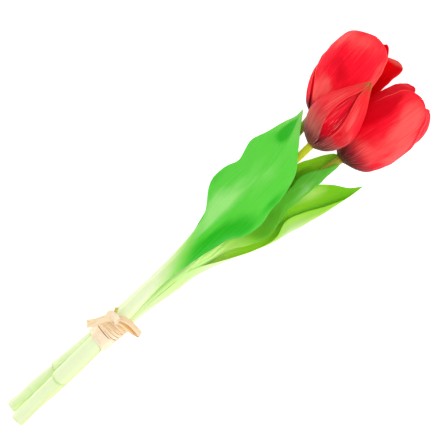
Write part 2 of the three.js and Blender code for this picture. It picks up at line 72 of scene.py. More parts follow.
PETALS = {
    "a": dict(
        outer=[
            dict(r=[3.2, 7.8, 13.2, 17.6, 20.0, 20.4, 19.6, 17.8, 14.0], h=H_A, left=[-40, -40, -39, -51, -82, -104, -104, -96, -80],
                 right=[40, 40, 42, 46, 56, 54, 46, 47, 50], tip=-4, top=0.78, flare_l=[0, 0, -0.6, -0.4, 0.3, 0.3, 0, 0, 0], flare_r=[0, 0, 0, 0.2, 0.6, 0.9, 0.9, 0.6, 0.3], lip=0.3),
            dict(r=[3.1, 7.6, 13.0, 17.4, 20.6, 22.3, 23.9, 24.6, 23.4], h=[-1.9, 0.4, 5.3, 14, 26.5, 39.5, 50.5, 57.0, 62.6], left=[64, 64, 68, 74, 80, 84, 86, 86, 86],
                 right=[178, 180, 182, 184, 186, 183, 178, 173, 168], tip=124, top=0.9, flare_l=[0, 0, 0, 0.3, 0.5, 0.5, 0.8, 0.9, 0.3], flare_r=NONE, lip=0.5),
            dict(r=[3.2, 7.2, 11.8, 16.8, 19.3, 19.4, 18.2, 16.6, 14.0], h=[-1.9, 0.4, 5.3, 14, 26.3, 38.6, 48.8, 54.5, 59], left=[152, 152, 152, 150, 152, 160, 172, 184, 196],
                 right=[298, 303, 306, 293, 279, 258, 246, 242, 238], tip=214, top=0.8, flare_l=NONE, flare_r=[0, 0, 0, 0.2, 0.3, 0.2, 0, 0, 0], lip=0.3),
        ],
        inner=[
            dict(r=[2.6, 5.6, 10.0, 14.0, 16.2, 16.6, 15.6, 13.8, 10.5], h=H_AI, left=[-24, -24, -24, -24, -24, -22, -18, -12, 0], right=[93, 93, 92, 89, 77, 58, 46, 44, 44], tip=18, top=0.78, flare_l=NONE, flare_r=NONE, lip=0),
            dict(r=[2.6, 5.6, 10.0, 14.4, 17.0, 17.8, 17.0, 15.6, 13.6], h=[0.3, 2.2, 7, 15, 26.5, 39.5, 52.4, 60.0, 66.2], left=[96, 96, 98, 102, 108, 114, 120, 126, 132], right=[206, 206, 206, 206, 208, 206, 198, 188, 176], tip=150, top=0.87, flare_l=NONE, flare_r=NONE, lip=0.4),
            dict(r=[2.6, 5.8, 10.6, 15.2, 17.7, 17.8, 16.5, 14.3, 10.5], h=H_AI, left=[214, 214, 214, 214, 214, 216, 224, 234, 244], right=[322, 322, 322, 322, 324, 322, 314, 304, 292], tip=268, top=0.78, flare_l=NONE, flare_r=NONE, lip=0),
        ]),
    "c": dict(
        outer=[
            dict(r=[3.2, 8.2, 14.2, 18.6, 21.4, 21.4, 20.2, 18.6, 15.8], h=H_C, left=[-62, -66, -72, -76, -67, -51, -44, -44, -44],
                 right=[66, 76, 92, 98, 101, 72, 47, 43, 41], tip=-2, top=0.86, flare_l=[0, 0, 0, 0, 0, 0.2, 0.5, 0.5, 0.3], flare_r=[0, 0.4, 1.3, 1.4, 0.8, 0.7, 0.9, 0.7, 0.3], lip=0.3),
            dict(r=[2.8, 5.2, 9.6, 15.0, 19.5, 20.2, 19.4, 16.8, 12.6], h=[-1.9, 0.4, 5.3, 14, 26.5, 39.5, 50.6, 57.2, 62.6], left=[44, 44, 46, 48, 46, 36, 22, 12, 6],
                 right=[160, 162, 164, 166, 164, 152, 126, 102, 84], tip=42, top=0.84, flare_l=NONE, flare_r=NONE, lip=0.5),
            dict(r=[3.1, 7.2, 12.9, 17.4, 20.5, 20.9, 19.6, 17.6, 13.2], h=[-1.9, 0.4, 5.3, 14, 26.5, 39.5, 51.0, 58.2, 63.8], left=[176, 176, 176, 178, 184, 196, 210, 224, 240],
                 right=[318, 318, 318, 318, 318, 320, 322, 326, 330], tip=314, top=0.86, flare_l=NONE, flare_r=NONE, lip=0.3),
        ],
        inner=[
            dict(r=[2.6, 5.8, 10.6, 14.4, 16.0, 15.8, 14.8, 13.2, 10.5], h=H_AI, left=[28, 28, 28, 30, 32, 34, 38, 46, 54], right=[128, 128, 128, 128, 126, 122, 114, 104, 94], tip=76, top=0.78, flare_l=NONE, flare_r=NONE, lip=0),
            dict(r=[2.6, 5.8, 10.6, 14.4, 16.4, 16.4, 15.4, 13.6, 11.0], h=H_AI, left=[144, 144, 144, 144, 144, 146, 154, 164, 174], right=[250, 250, 250, 250, 250, 246, 238, 228, 218], tip=196, top=0.78, flare_l=NONE, flare_r=NONE, lip=0),
            dict(r=[2.6, 5.8, 10.6, 14.4, 16.0, 15.8, 14.8, 13.2, 10.5], h=H_AI, left=[-62, -62, -60, -56, -52, -48, -46, -46, -46], right=[20, 20, 20, 20, 20, 18, 14, 8, 2], tip=-20, top=0.78, flare_l=NONE, flare_r=NONE, lip=0),
        ]),
    "b": dict(
        outer=[
            dict(r=[3.0, 7.2, 11.6, 15.0, 16.9, 14.8, 9.9, 5.4, 1.2], h=H_B, left=[-116, -116, -116, -116, -116, -112, -108, -104, -100],
                 right=[6, 6, 1, -10, -18, -24, -20, -8, 4], tip=-42, top=0.93, flare_l=NONE, flare_r=[0, 0, 0, 0.1, 0.3, 0.35, 0.2, 0.1, 0], lip=0.2),
            dict(r=[3.0, 7.1, 11.5, 14.9, 16.8, 14.7, 9.7, 5.0, 1.1], h=H_B, left=[12, 12, 14, 18, 20, 16, 6, -3, -8],
                 right=[134, 134, 134, 134, 134, 132, 128, 122, 116], tip=40, top=0.93, flare_l=NONE, flare_r=NONE, lip=0.2),
            dict(r=[3.0, 7.2, 11.5, 14.8, 16.6, 14.6, 9.8, 5.2, 1.2], h=H_B, left=[124, 124, 124, 124, 124, 126, 130, 136, 142],
                 right=[252, 252, 252, 252, 252, 250, 246, 240, 234], tip=188, top=0.93, flare_l=NONE, flare_r=NONE, lip=0.2),
        ],
        inner=[
            dict(r=[2.6, 6.9, 11.2, 14.45, 16.3, 14.15, 9.1, 4.7, 1.0], h=H_BI, left=[-48, -48, -48, -48, -48, -46, -42, -36, -30], right=[74, 74, 74, 74, 74, 72, 66, 58, 50], tip=10, top=0.93, flare_l=NONE, flare_r=NONE, lip=0, crease=(0.0, 0.3)),
            dict(r=[2.4, 4.6, 8.0, 11.0, 12.4, 10.6, 6.4, 3.2, 0.9], h=H_BI, left=[86, 86, 86, 86, 86, 88, 92, 98, 104], right=[176, 176, 176, 176, 176, 174, 170, 164, 158], tip=128, top=0.93, flare_l=NONE, flare_r=NONE, lip=0),
            dict(r=[2.4, 4.6, 8.0, 11.0, 12.4, 10.6, 6.4, 3.2, 0.9], h=H_BI, left=[200, 200, 200, 200, 200, 202, 206, 212, 218], right=[296, 296, 296, 296, 296, 294, 290, 284, 278], tip=248, top=0.93, flare_l=NONE, flare_r=NONE, lip=0),
        ]),
}
# painted highlight (+) and painted shade (-) patches of a petal, put where light falls on it or shade lies: t, s,
# spread in t, spread in s, strength
PAINTED_LIGHT_PATCHES = {
    ("a", "outer", 0): [(0.27, -0.3, 0.12, 0.42, 1.0), (0.48, 0.05, 0.16, 0.26, -0.45), (0.8, -0.35, 0.16, 0.5, 0.6), (0.88, 0.3, 0.1, 0.4, 0.5), (0.62, 0.5, 0.14, 0.14, -0.3), (0.62, 0.88, 0.24, 0.1, 0.9), (0.17, -0.8, 0.08, 0.25, 1.3)],
    ("c", "outer", 0): [(0.5, 0.45, 0.38, 0.55, 0.8), (0.8, 0.25, 0.16, 0.6, 0.85), (0.42, -0.8, 0.4, 0.34, -1.5), (0.7, -0.75, 0.14, 0.36, -1.2), (0.24, 0.62, 0.08, 0.25, -0.7), (0.2, 0.0, 0.1, 0.5, 0.6)],
    ("c", "outer", 2): [(0.7, 0.4, 0.9, 1.8, -1.6)],
    ("b", "outer", 0): [(0.6, 0.75, 0.2, 0.2, 0.7), (0.72, 0.3, 0.16, 0.4, 0.4)],
    ("b", "outer", 1): [(0.66, -0.75, 0.22, 0.2, 0.7), (0.44, -0.35, 0.08, 0.2, 0.35), (0.3, -0.3, 0.1, 0.4, -0.8), (0.4, -0.85, 0.12, 0.2, -0.9)],
    ("b", "inner", 0): [(0.6, -0.4, 0.3, 0.18, 0.5), (0.6, 0.15, 0.5, 0.4, -1.4), (0.3, -0.2, 0.14, 0.5, -0.8)],
}
LEAF = {
    "leaf_front": dict(stem="b", side=-1, sheath=[-153, -56], widen=0, bend=-31, open=[
        [-36.7, -4.6, 26.6, 5.4, 112, 6.4, 112], [-20.8, -4.0, 29.6, 6.3, 80, 9.8, 80],
        [-6.8, -3.5, 32.0, 9.0, 62, 13.8, 62], [8.0, -3.0, 35.4, 18.2, 42, 20.8, 42], [24.0, -1.9, 39.4, 21.3, 28, 20.7, 26],
        [39.9, -0.9, 43.6, 19.4, 22, 19.2, 20], [52.9, 0.9, 48.2, 18.8, 18, 15.8, 16], [65.0, 3.7, 52.0, 13.2, 15, 9.2, 12],
        [75.8, 6.8, 54.4, 8.0, 12, 3.7, 10], [82.4, 9.2, 55.4, 3.1, 10, 1.2, 10], [87.8, 12.1, 56.0, 0, 8, 0, 8]]),
    "leaf_outer": dict(stem="c", side=1, sheath=[-113, -38], widen=1.7, bend=-32, open=[
        [-27, -16.2, 4.2, 5.3, 110, 6.2, 150], [-20, -17.5, 4.0, 5.6, 72, 7.2, 130],
        [-9, -19.6, 3.4, 5.4, 40, 8.8, 100, 0.7], [6.6, -25.0, 3.2, 6.0, 26, 10.1, 86, 0.45], [19.6, -30.4, 3.2, 7.0, 26, 8.9, 116, 0.36],
        [30.6, -33.0, 3.4, 7.8, 30, 8.7, 168, 0.28], [44.6, -37.4, 3.8, 10.6, 34, 8.2, 172, 0.27], [56.4, -42.5, 4.6, 13.4, 38, 5.8, 160, 0.34],
        [68.1, -47.0, 5.6, 9.3, 36, 3.2, 130, 0.6], [77.6, -50.4, 6.6, 2.9, 30, 1.5, 60, 1], [85.5, -52.7, 7.4, 0, 25, 0, 25, 1]]),
    "leaf_inner": dict(stem="c", side=1, sheath=[-62, -34], widen=0, bend=-12, open=[
        [-20, -16.0, 6.75, 3.6, 110, 3.75, 150, 1], [-9, -16.2, 7.3, 4.4, 70, 6.3, 165, 0.65], [3, -15.8, 8.2, 5.0, 48, 13.0, 172, 0.335],
        [17.7, -16.0, 9.5, 5.8, 36, 17.6, 174, 0.26], [28, -16.6, 10.6, 6.4, 32, 15.4, 174, 0.3], [38.5, -17.4, 11.8, 7.2, 30, 12.4, 173, 0.375],
        [48, -18.4, 12.6, 7.8, 28, 11.5, 170, 0.43], [57.8, -18.2, 13.5, 7.7, 28, 12.2, 174, 0.445], [66.7, -20.2, 14.6, 6.6, 28, 10.9, 172, 0.52],
        [70, -21.2, 14.9, 5.8, 28, 10.4, 168, 0.54], [74, -22.6, 15.6, 5.4, 29, 8.9, 160, 0.55], [79.5, -25.1, 16.4, 5.0, 32, 6.8, 148, 0.68],
        [84.2, -27.5, 17.4, 4.0, 34, 4.6, 136, 0.9], [88.8, -30.2, 18.8, 0, 30, 0, 30, 1]]),
    "leaf_back": dict(stem="a", side=1, sheath=[-149.5, -60], widen=0, bend=-38, open=[
        [-40, -3.2, 4.0, 3.7, 96, 4.5, 96], [-20, -2.2, 4.4, 4.2, 60, 6.4, 60],
        [0, 0.4, 4.5, 7.4, 42, 7.8, 42], [20, 2.8, 4.9, 9.8, 32, 8.0, 32], [40, 4.6, 5.8, 9.0, 26, 7.0, 26],
        [58, 6.0, 6.8, 6.0, 22, 5.0, 22], [70, 6.8, 7.6, 3.0, 20, 2.5, 20], [78, 7.4, 8.2, 0, 20, 0, 20]]),
}
SHEATH_GAP, SHEATH_T, SHEATH_ANGLE = 0.3, 0.7, 177.0


# ------------------------------------------------------------------ curves
def hermite(ts, vs, t):
    ts = np.asarray(ts, float)
    vs = np.asarray(vs, float)
    if vs.ndim == 1:
        return hermite(ts, vs[:, None], t)[..., 0]
    t = np.clip(np.asarray(t, float), ts[0], ts[-1])
    h = np.diff(ts)
    d = np.diff(vs, axis=0) / h[:, None]
    m = np.empty_like(vs)
    m[0], m[-1] = d[0], d[-1]
    m[1:-1] = (h[1:, None] * d[:-1] + h[:-1, None] * d[1:]) / (h[:-1] + h[1:])[:, None]
    i = np.clip(np.searchsorted(ts, t, side="right") - 1, 0, len(ts) - 2)
    x = ((t - ts[i]) / h[i])[..., None]
    hh = h[i][..., None]
    return (2 * x**3 - 3 * x**2 + 1) * vs[i] + (x**3 - 2 * x**2 + x) * hh * m[i] + (3 * x**2 - 2 * x**3) * vs[i + 1] + (x**3 - x**2) * hh * m[i + 1]


def unit(v):
    return v / np.maximum(np.linalg.norm(v, axis=-1, keepdims=True), 1e-12)


def smooth(x, a, b):
    k = np.clip((np.asarray(x, float) - a) / (b - a), 0, 1)
    return k * k * (3 - 2 * k)


def wobble(x, seed, n=4):
    """Smooth random line over x, about -1 to 1, the same each time."""
    g = np.random.default_rng(seed)
    out = np.zeros_like(np.asarray(x, float))
    for k in range(1, n + 1):
        out += np.sin(2 * np.pi * (k * x * g.uniform(0.7, 1.3) + g.uniform())) / k
    return out / 1.6


def stem_at(k, x):
    rows = np.array(STEM[k], float)
    return hermite(rows[:, 0], rows, x)


def crevice(p, own):
    """1 in the grooves between neighbouring stems, falling to 0 on the free sides."""
    p = np.asarray(p, float)
    near = np.full(p.shape[:-1], 99.0)
    for k in STEM:
        if k != own:
            c = stem_at(k, p[..., 0])
            near = np.minimum(near, np.hypot(p[..., 1] - c[..., 1], p[..., 2] - c[..., 2]) - c[..., 3] - 1.0)
    return np.exp(-np.maximum(near, 0) / 1.6)


def blobs(list_of, a, b):
    out = np.zeros(np.broadcast(a, b).shape)
    for a0, b0, wa, wb, k in list_of:
        out = out + k * np.exp(-((a - a0) / wa) ** 2 - ((b - b0) / wb) ** 2)
    return np.clip(out, -1, 1)


# ------------------------------------------------------------------ meshes
def make_mesh(name, verts, faces, attributes, material, flat=False):
    me = bpy.data.meshes.new(name)
    me.from_pydata(((np.asarray(verts) - ORIGIN) / 1000).tolist(), [], faces)
    me.update()
    for key, values in attributes.items():
        values = np.asarray(values, np.float32)
        if values.ndim == 1:
            me.attributes.new(key, "FLOAT", "POINT").data.foreach_set("value", values)
        else:
            me.attributes.new(key, "FLOAT_VECTOR", "POINT").data.foreach_set("vector", values.ravel())
    me.shade_smooth()
    ob = bpy.data.objects.new(name, me)
    bpy.context.scene.collection.objects.link(ob)
    me.materials.append(material)
    return ob


def ring_faces(n, m, closed_along=False):
    faces = []
    last = n if closed_along else n - 1
    for i in range(last):
        a, b = i * m, ((i + 1) % n) * m
        for j in range(m):
            k = (j + 1) % m
            faces.append((a + j, a + k, b + k, b + j))
    return faces


def orient(verts, faces):
    """Turns all faces over if the body is inside out."""
    v = np.asarray(verts)
    vol = 0.0
    for f in faces:
        p = v[list(f)]
        for k in range(1, len(f) - 1):
            vol += np.dot(p[0], np.cross(p[k], p[k + 1]))
    return faces if vol > 0 else [tuple(reversed(f)) for f in faces]


def shell(name, P, thick, attrs, material, closed_ends=(True, True)):
    """Closed body with rounded edges on a surface grid P[t, s]; thick[t, s] in mm. attrs: name -> array[t, s]."""
    nt, ns, _ = P.shape
    dt = np.gradient(P, axis=0)
    ds = np.gradient(P, axis=1)
    N = np.cross(ds, dt)
    ln = np.linalg.norm(N, axis=-1)
    good = ln > 1e-9
    N = unit(N)
    for i in range(1, nt):
        bad = ~good[i]
        N[i][bad] = N[i - 1][bad]
    half = (thick / 2)[..., None]
    top, bottom = P + N * half, P - N * half
    er = unit(P[:, -1] - P[:, -2] + 1e-9) * half[:, -1] * 0.9
    el = unit(P[:, 0] - P[:, 1] + 1e-9) * half[:, 0] * 0.9
    ring = np.concatenate([top, (P[:, -1] + er)[:, None], bottom[:, ::-1], (P[:, 0] + el)[:, None]], axis=1)
    m = ring.shape[1]
    verts = ring.reshape(-1, 3)
    faces = ring_faces(nt, m)
    for i, use in ((0, closed_ends[0]), (nt - 1, closed_ends[1])):
        if not use:
            continue
        o = i * m
        cap = []
        for j in range(ns - 1):
            cap.append((o + j, o + j + 1, o + 2 * ns - 1 - j, o + 2 * ns - j))
        cap.append((o + ns - 1, o + ns, o + ns + 1))
        cap.append((o, o + 2 * ns, o + 2 * ns + 1))
        if i == 0:
            cap = [tuple(reversed(f)) for f in cap]
        faces += cap
    out = {}
    for key, val in attrs.items():
        val = np.broadcast_to(val, (nt, ns))
        out[key] = np.concatenate([val, val[:, -1:], val[:, ::-1], val[:, :1]], axis=1).ravel()
    inner = np.concatenate([np.zeros((nt, ns)), np.full((nt, 1), 0.5), np.ones((nt, ns)), np.full((nt, 1), 0.5)], axis=1)
    out["backside"] = inner.ravel()
    return make_mesh(name, verts, orient(verts, faces), out, material)


def tube(name, centre, radius, sides, material, attrs=None, own=None, caps=True):
    """Round body along a centre line; radius[i] or radius[i, side]."""
    c = np.asarray(centre, float)
    n = len(c)
    t = unit(np.gradient(c, axis=0))
    side = unit(np.cross(t, [0.0, 0, 1]))
    up = np.cross(side, t)
    w = 2 * np.pi * np.arange(sides) / sides
    r = np.asarray(radius, float)
    if r.ndim == 1:
        r = np.repeat(r[:, None], sides, 1)
    ring = c[:, None] + r[..., None] * (np.cos(w)[None, :, None] * side[:, None] + np.sin(w)[None, :, None] * up[:, None])
    verts = ring.reshape(-1, 3)
    faces = ring_faces(n, sides)
    if caps:
        faces += [tuple(range(sides))[::-1], tuple((n - 1) * sides + k for k in range(sides))]
    out = {}
    for key, val in (attrs or {}).items():
        val = np.asarray(val, float)
        out[key] = (np.repeat(val[:, None], sides, 1) if val.ndim == 1 else val).ravel()
    out["crevice"] = crevice(ring, own).ravel() if own else np.zeros(n * sides)
    out["round"] = np.stack(np.broadcast_arrays(np.cos(w)[None, :], np.sin(w)[None, :], np.zeros((n, 1))), -1).reshape(-1, 3)
    return make_mesh(name, verts, orient(verts, faces), out, material)


# ------------------------------------------------------------------ materials
def new_material(name):
    m = bpy.data.materials.new(name)
    m.use_nodes = True
    nt = m.node_tree
    nt.nodes.clear()
    out = nt.nodes.new("ShaderNodeOutputMaterial")
    bsdf = nt.nodes.new("ShaderNodeBsdfPrincipled")
    nt.links.new(bsdf.outputs[0], out.inputs[0])
    return m, nt, bsdf


class Nodes:
    """Short names for the few node kinds used below."""

    def __init__(self, nt):
        self.nt = nt

    def add(self, kind, **props):
        n = self.nt.nodes.new(kind)
        for k, v in props.items():
            setattr(n, k, v)
        return n

    def put(self, socket, value):
        if isinstance(value, bpy.types.NodeSocket):
            self.nt.links.new(value, socket)
        else:
            socket.default_value = value

    def attr(self, name, vector=False):
        n = self.add("ShaderNodeAttribute", attribute_name=name)
        return n.outputs["Vector" if vector else "Fac"]

    def math(self, op, a, b=0.0, clamp=False):
        n = self.add("ShaderNodeMath", operation=op, use_clamp=clamp)
        self.put(n.inputs[0], a)
        self.put(n.inputs[1], b)
        return n.outputs[0]

    def combine(self, x, y, z):
        n = self.add("ShaderNodeCombineXYZ")
        for i, v in enumerate((x, y, z)):
            self.put(n.inputs[i], v)
        return n.outputs[0]

    def noise(self, vector, scale, detail=3.0, rough=0.55):
        n = self.add("ShaderNodeTexNoise")
        self.put(n.inputs["Vector"], vector)
        n.inputs["Scale"].default_value = scale
        n.inputs["Detail"].default_value = detail
        n.inputs["Roughness"].default_value = rough
        return n.outputs["Fac"]

    def ramp(self, fac, stops, mode="LINEAR"):
        n = self.add("ShaderNodeValToRGB")
        cr = n.color_ramp
        cr.interpolation = mode
        while len(cr.elements) < len(stops):
            cr.elements.new(0.5)
        for e, (p, c) in zip(cr.elements, stops):
            e.position = p
            e.color = (*c, 1.0) if len(c) == 3 else c
        self.put(n.inputs["Fac"], fac)
        return n.outputs["Color"]

    def rangemap(self, v, a, b, c, d):
        n = self.add("ShaderNodeMapRange", clamp=True)
        n.interpolation_type = "SMOOTHSTEP"
        self.put(n.inputs[0], v)
        for i, x in enumerate((a, b, c, d)):
            n.inputs[i + 1].default_value = x
        return n.outputs[0]

    def mix(self, fac, a, b, blend="MIX"):
        n = self.add("ShaderNodeMix", data_type="RGBA", blend_type=blend)
        self.put(n.inputs[0], fac)
        for sock, v in ((n.inputs[6], a), (n.inputs[7], b)):
            self.put(sock, v if isinstance(v, bpy.types.NodeSocket) else (*v, 1.0))
        return n.outputs[2]

    def bump(self, height, distance, strength=1.0):
        n = self.add("ShaderNodeBump")
        n.inputs["Strength"].default_value = strength
        n.inputs["Distance"].default_value = distance
        self.put(n.inputs["Height"], height)
        return n.outputs[0]


def srgb(r, g, b):
    f = lambda c: c / 12.92 if c <= 0.04045 else ((c + 0.055) / 1.055) ** 2.4
    return (f(r / 255), f(g / 255), f(b / 255))


def petal_material(name, seed, bud=False, mauve=0.0, streaks=1.0, rim=0.45, foot=1.0, deepen=0.0, rim_from=0.1, rim_in=0.0, line=0.0, glow=0.06, gloss=0.0, gloss_to=1.0):
    m, nt, bsdf = new_material(name)
    N = Nodes(nt)
    along, edge, inside, shade, arc = N.attr("along"), N.attr("edge"), N.attr("backside"), N.attr("shade"), N.attr("arc")
    fine = N.noise(N.combine(N.math("MULTIPLY", arc, 1.1), N.math("MULTIPLY", along, 2.2), float(seed)), 1.0, 4.0, 0.62)
    streak = N.noise(N.combine(N.math("MULTIPLY", arc, 0.6), N.math("MULTIPLY", along, 1.2), seed + 4.0), 1.0, 2.0, 0.6)
    broad = N.noise(N.combine(N.math("MULTIPLY", arc, 0.12), N.math("MULTIPLY", along, 2.8), seed + 9.0), 1.0, 3.0, 0.55)
    grain = N.noise(N.combine(N.math("MULTIPLY", arc, 2.2), N.math("MULTIPLY", along, 120.0), seed + 2.0), 1.0, 2.0, 0.5)
    pos = N.math("ADD", along, N.math("MULTIPLY", N.math("SUBTRACT", streak, 0.5), 0.22))
    if bud:
        stops = [(0.0, srgb(104, 64, 40)), (0.07, srgb(76, 38, 30)), (0.16, srgb(98, 34, 34)), (0.26, srgb(140, 26, 36)), (0.39, srgb(204, 16, 36)), (0.6, srgb(228, 20, 40)), (0.88, srgb(232, 40, 46)), (0.955, srgb(206, 62, 48)), (0.985, srgb(150, 116, 48)), (1.0, srgb(128, 130, 40))]
    else:
        stops = [(0.0, srgb(100, 66, 40)), (0.045, srgb(74, 26, 26)), (0.11, srgb(108, 24, 32)), (0.19, srgb(168, 14, 34)), (0.3, srgb(234, 14, 40)), (0.7, srgb(248, 20, 46)), (1.0, srgb(252, 44, 56))]
    stops = [(q * foot if q < 0.4 else q, c) for q, c in stops]
    base = N.ramp(pos, stops)
    # pale streaks running up from the pinched base
    low = N.rangemap(along, 0.03, 0.3 * foot, 1.0, 0.0)
    base = N.mix(N.math("MULTIPLY", N.math("MULTIPLY", N.rangemap(fine, 0.5, 0.72, 0.0, 1.0), low), min(0.7 * streaks, 1.0)), base, srgb(206, 118, 112))
    if mauve:
        base = N.mix(N.math("MULTIPLY", N.rangemap(along, 0.22, 0.66, mauve, 0.0), N.math("MULTIPLY", N.rangemap(streak, 0.2, 0.7, 0.55, 1.0), N.rangemap(along, 0.07, 0.22, 0.1, 1.0))), base, srgb(178, 104, 92))
    # painted highlight (salmon) and painted shade (deep crimson), placed by the patch attribute and varied by random
    # tone from the broad noise
    lift = N.math("ADD", N.math("MULTIPLY", shade, 0.95), N.math("MULTIPLY", N.math("SUBTRACT", broad, 0.5), 1.4))
    body = N.rangemap(along, 0.1 * foot, 0.35 * foot, 0.0, 1.0)
    base = N.mix(N.math("MULTIPLY", N.rangemap(lift, 0.05, 0.95, 0.0, 0.7), body), base, srgb(246, 104, 98))
    painted_shade_mix = N.math("MULTIPLY", N.rangemap(lift, -0.8, 0.0, 0.92, 0.0), body)
    base = N.mix(painted_shade_mix, base, srgb(206, 0, 24))
    calm = N.math("SUBTRACT", body, painted_shade_mix)
    # veins along the petal
    base = N.mix(N.math("MULTIPLY", N.rangemap(fine, 0.52, 0.68, 0.0, min(0.52 * streaks, 0.9)), body), base, srgb(206, 0, 32))
    base = N.mix(N.math("MULTIPLY", N.rangemap(fine, 0.47, 0.3, 0.0, min(0.24 * streaks, 0.8)), calm), base, srgb(250, 104, 98))
    if line:      # fine deeper line just inside the rolled rim
        base = N.mix(N.math("MULTIPLY", N.math("MULTIPLY", N.rangemap(edge, 0.8, 0.87, 0.0, line), N.rangemap(edge, 0.89, 0.945, 1.0, 0.0)), N.rangemap(along, 0.5, 0.66, 0.0, 1.0)), base, srgb(222, 6, 40))
    # painted highlight: paler lit rolled rim, on the outer face only
    base = N.mix(N.math("MULTIPLY", N.math("MULTIPLY", N.rangemap(edge, 0.93, 0.995, 0.0, rim), N.rangemap(along, rim_from, rim_from + 0.25, 0.0, 1.0)), N.math("SUBTRACT", 1.0, inside)), base, srgb(250, 112, 102))
    if deepen:
        base = N.mix(N.math("MULTIPLY", N.rangemap(streak, 0.42, 0.62, deepen, 0.25 * deepen), N.rangemap(along, 0.06, 0.2, 0.0, 1.0)), base, srgb(160, 0, 20))
    if gloss:      # hair-fine deep and pale lines
        thin = N.noise(N.combine(N.math("MULTIPLY", arc, 2.0), N.math("MULTIPLY", along, 3.2), seed + 13.0), 1.0, 2.0, 0.5)
        where = N.math("MULTIPLY", N.rangemap(along, 0.03, 0.12, 0.0, 1.0), N.rangemap(along, gloss_to, gloss_to + 0.2, 1.0, 0.0))
        base = N.mix(N.math("MULTIPLY", N.rangemap(thin, 0.48, 0.34, 0.0, gloss), where), base, srgb(150, 0, 26))
        base = N.mix(N.math("MULTIPLY", N.rangemap(thin, 0.6, 0.7, 0.0, gloss), where), base, srgb(240, 132, 128))
    deep = N.ramp(pos, [(0.0, srgb(90, 40, 30)), (0.12, srgb(150, 8, 20)), (0.3, srgb(226, 0, 12)), (1.0, srgb(240, 2, 16))])
    deep = N.mix(N.rangemap(fine, 0.5, 0.72, 0.0, 0.3), deep, srgb(206, 0, 18))
    # painted highlight: pink lit rim on the inner face just below the tip
    if rim_in:
        deep = N.mix(N.math("MULTIPLY", rim_in, N.rangemap(along, 0.95, 0.985, 0.0, 1.0)), deep, srgb(240, 118, 110))
    base = N.mix(N.math("MULTIPLY", N.rangemap(inside, 0.5, 1.0, 0.0, 1.0), 0.97), base, deep)
    N.put(bsdf.inputs["Base Color"], base)
    N.put(bsdf.inputs["Roughness"], N.rangemap(broad, 0.2, 0.8, 0.46, 0.6))
    N.put(bsdf.inputs["Specular IOR Level"], N.rangemap(inside, 0.5, 1.0, 0.05, 0.02))
    # red self-glow: painted light that lifts the petals and fills the shaded gaps between them, its strength set by
    # glow
    bsdf.inputs["Emission Color"].default_value = (*srgb(255, 4, 26), 1.0)
    N.put(bsdf.inputs["Emission Strength"], N.math("MULTIPLY", body, N.rangemap(inside, 0.5, 1.0, glow, 0.02)))
    bsdf.inputs["Subsurface Weight"].default_value = 0.15
    bsdf.inputs["Subsurface Radius"].default_value = (0.004, 0.0006, 0.0006)
    bsdf.inputs["Subsurface Scale"].default_value = 0.5
    height = N.math("ADD", N.math("MULTIPLY", fine, 0.8), N.math("MULTIPLY", grain, 0.12))
    N.put(bsdf.inputs["Normal"], N.bump(height, 0.0006, 0.45))
    return m


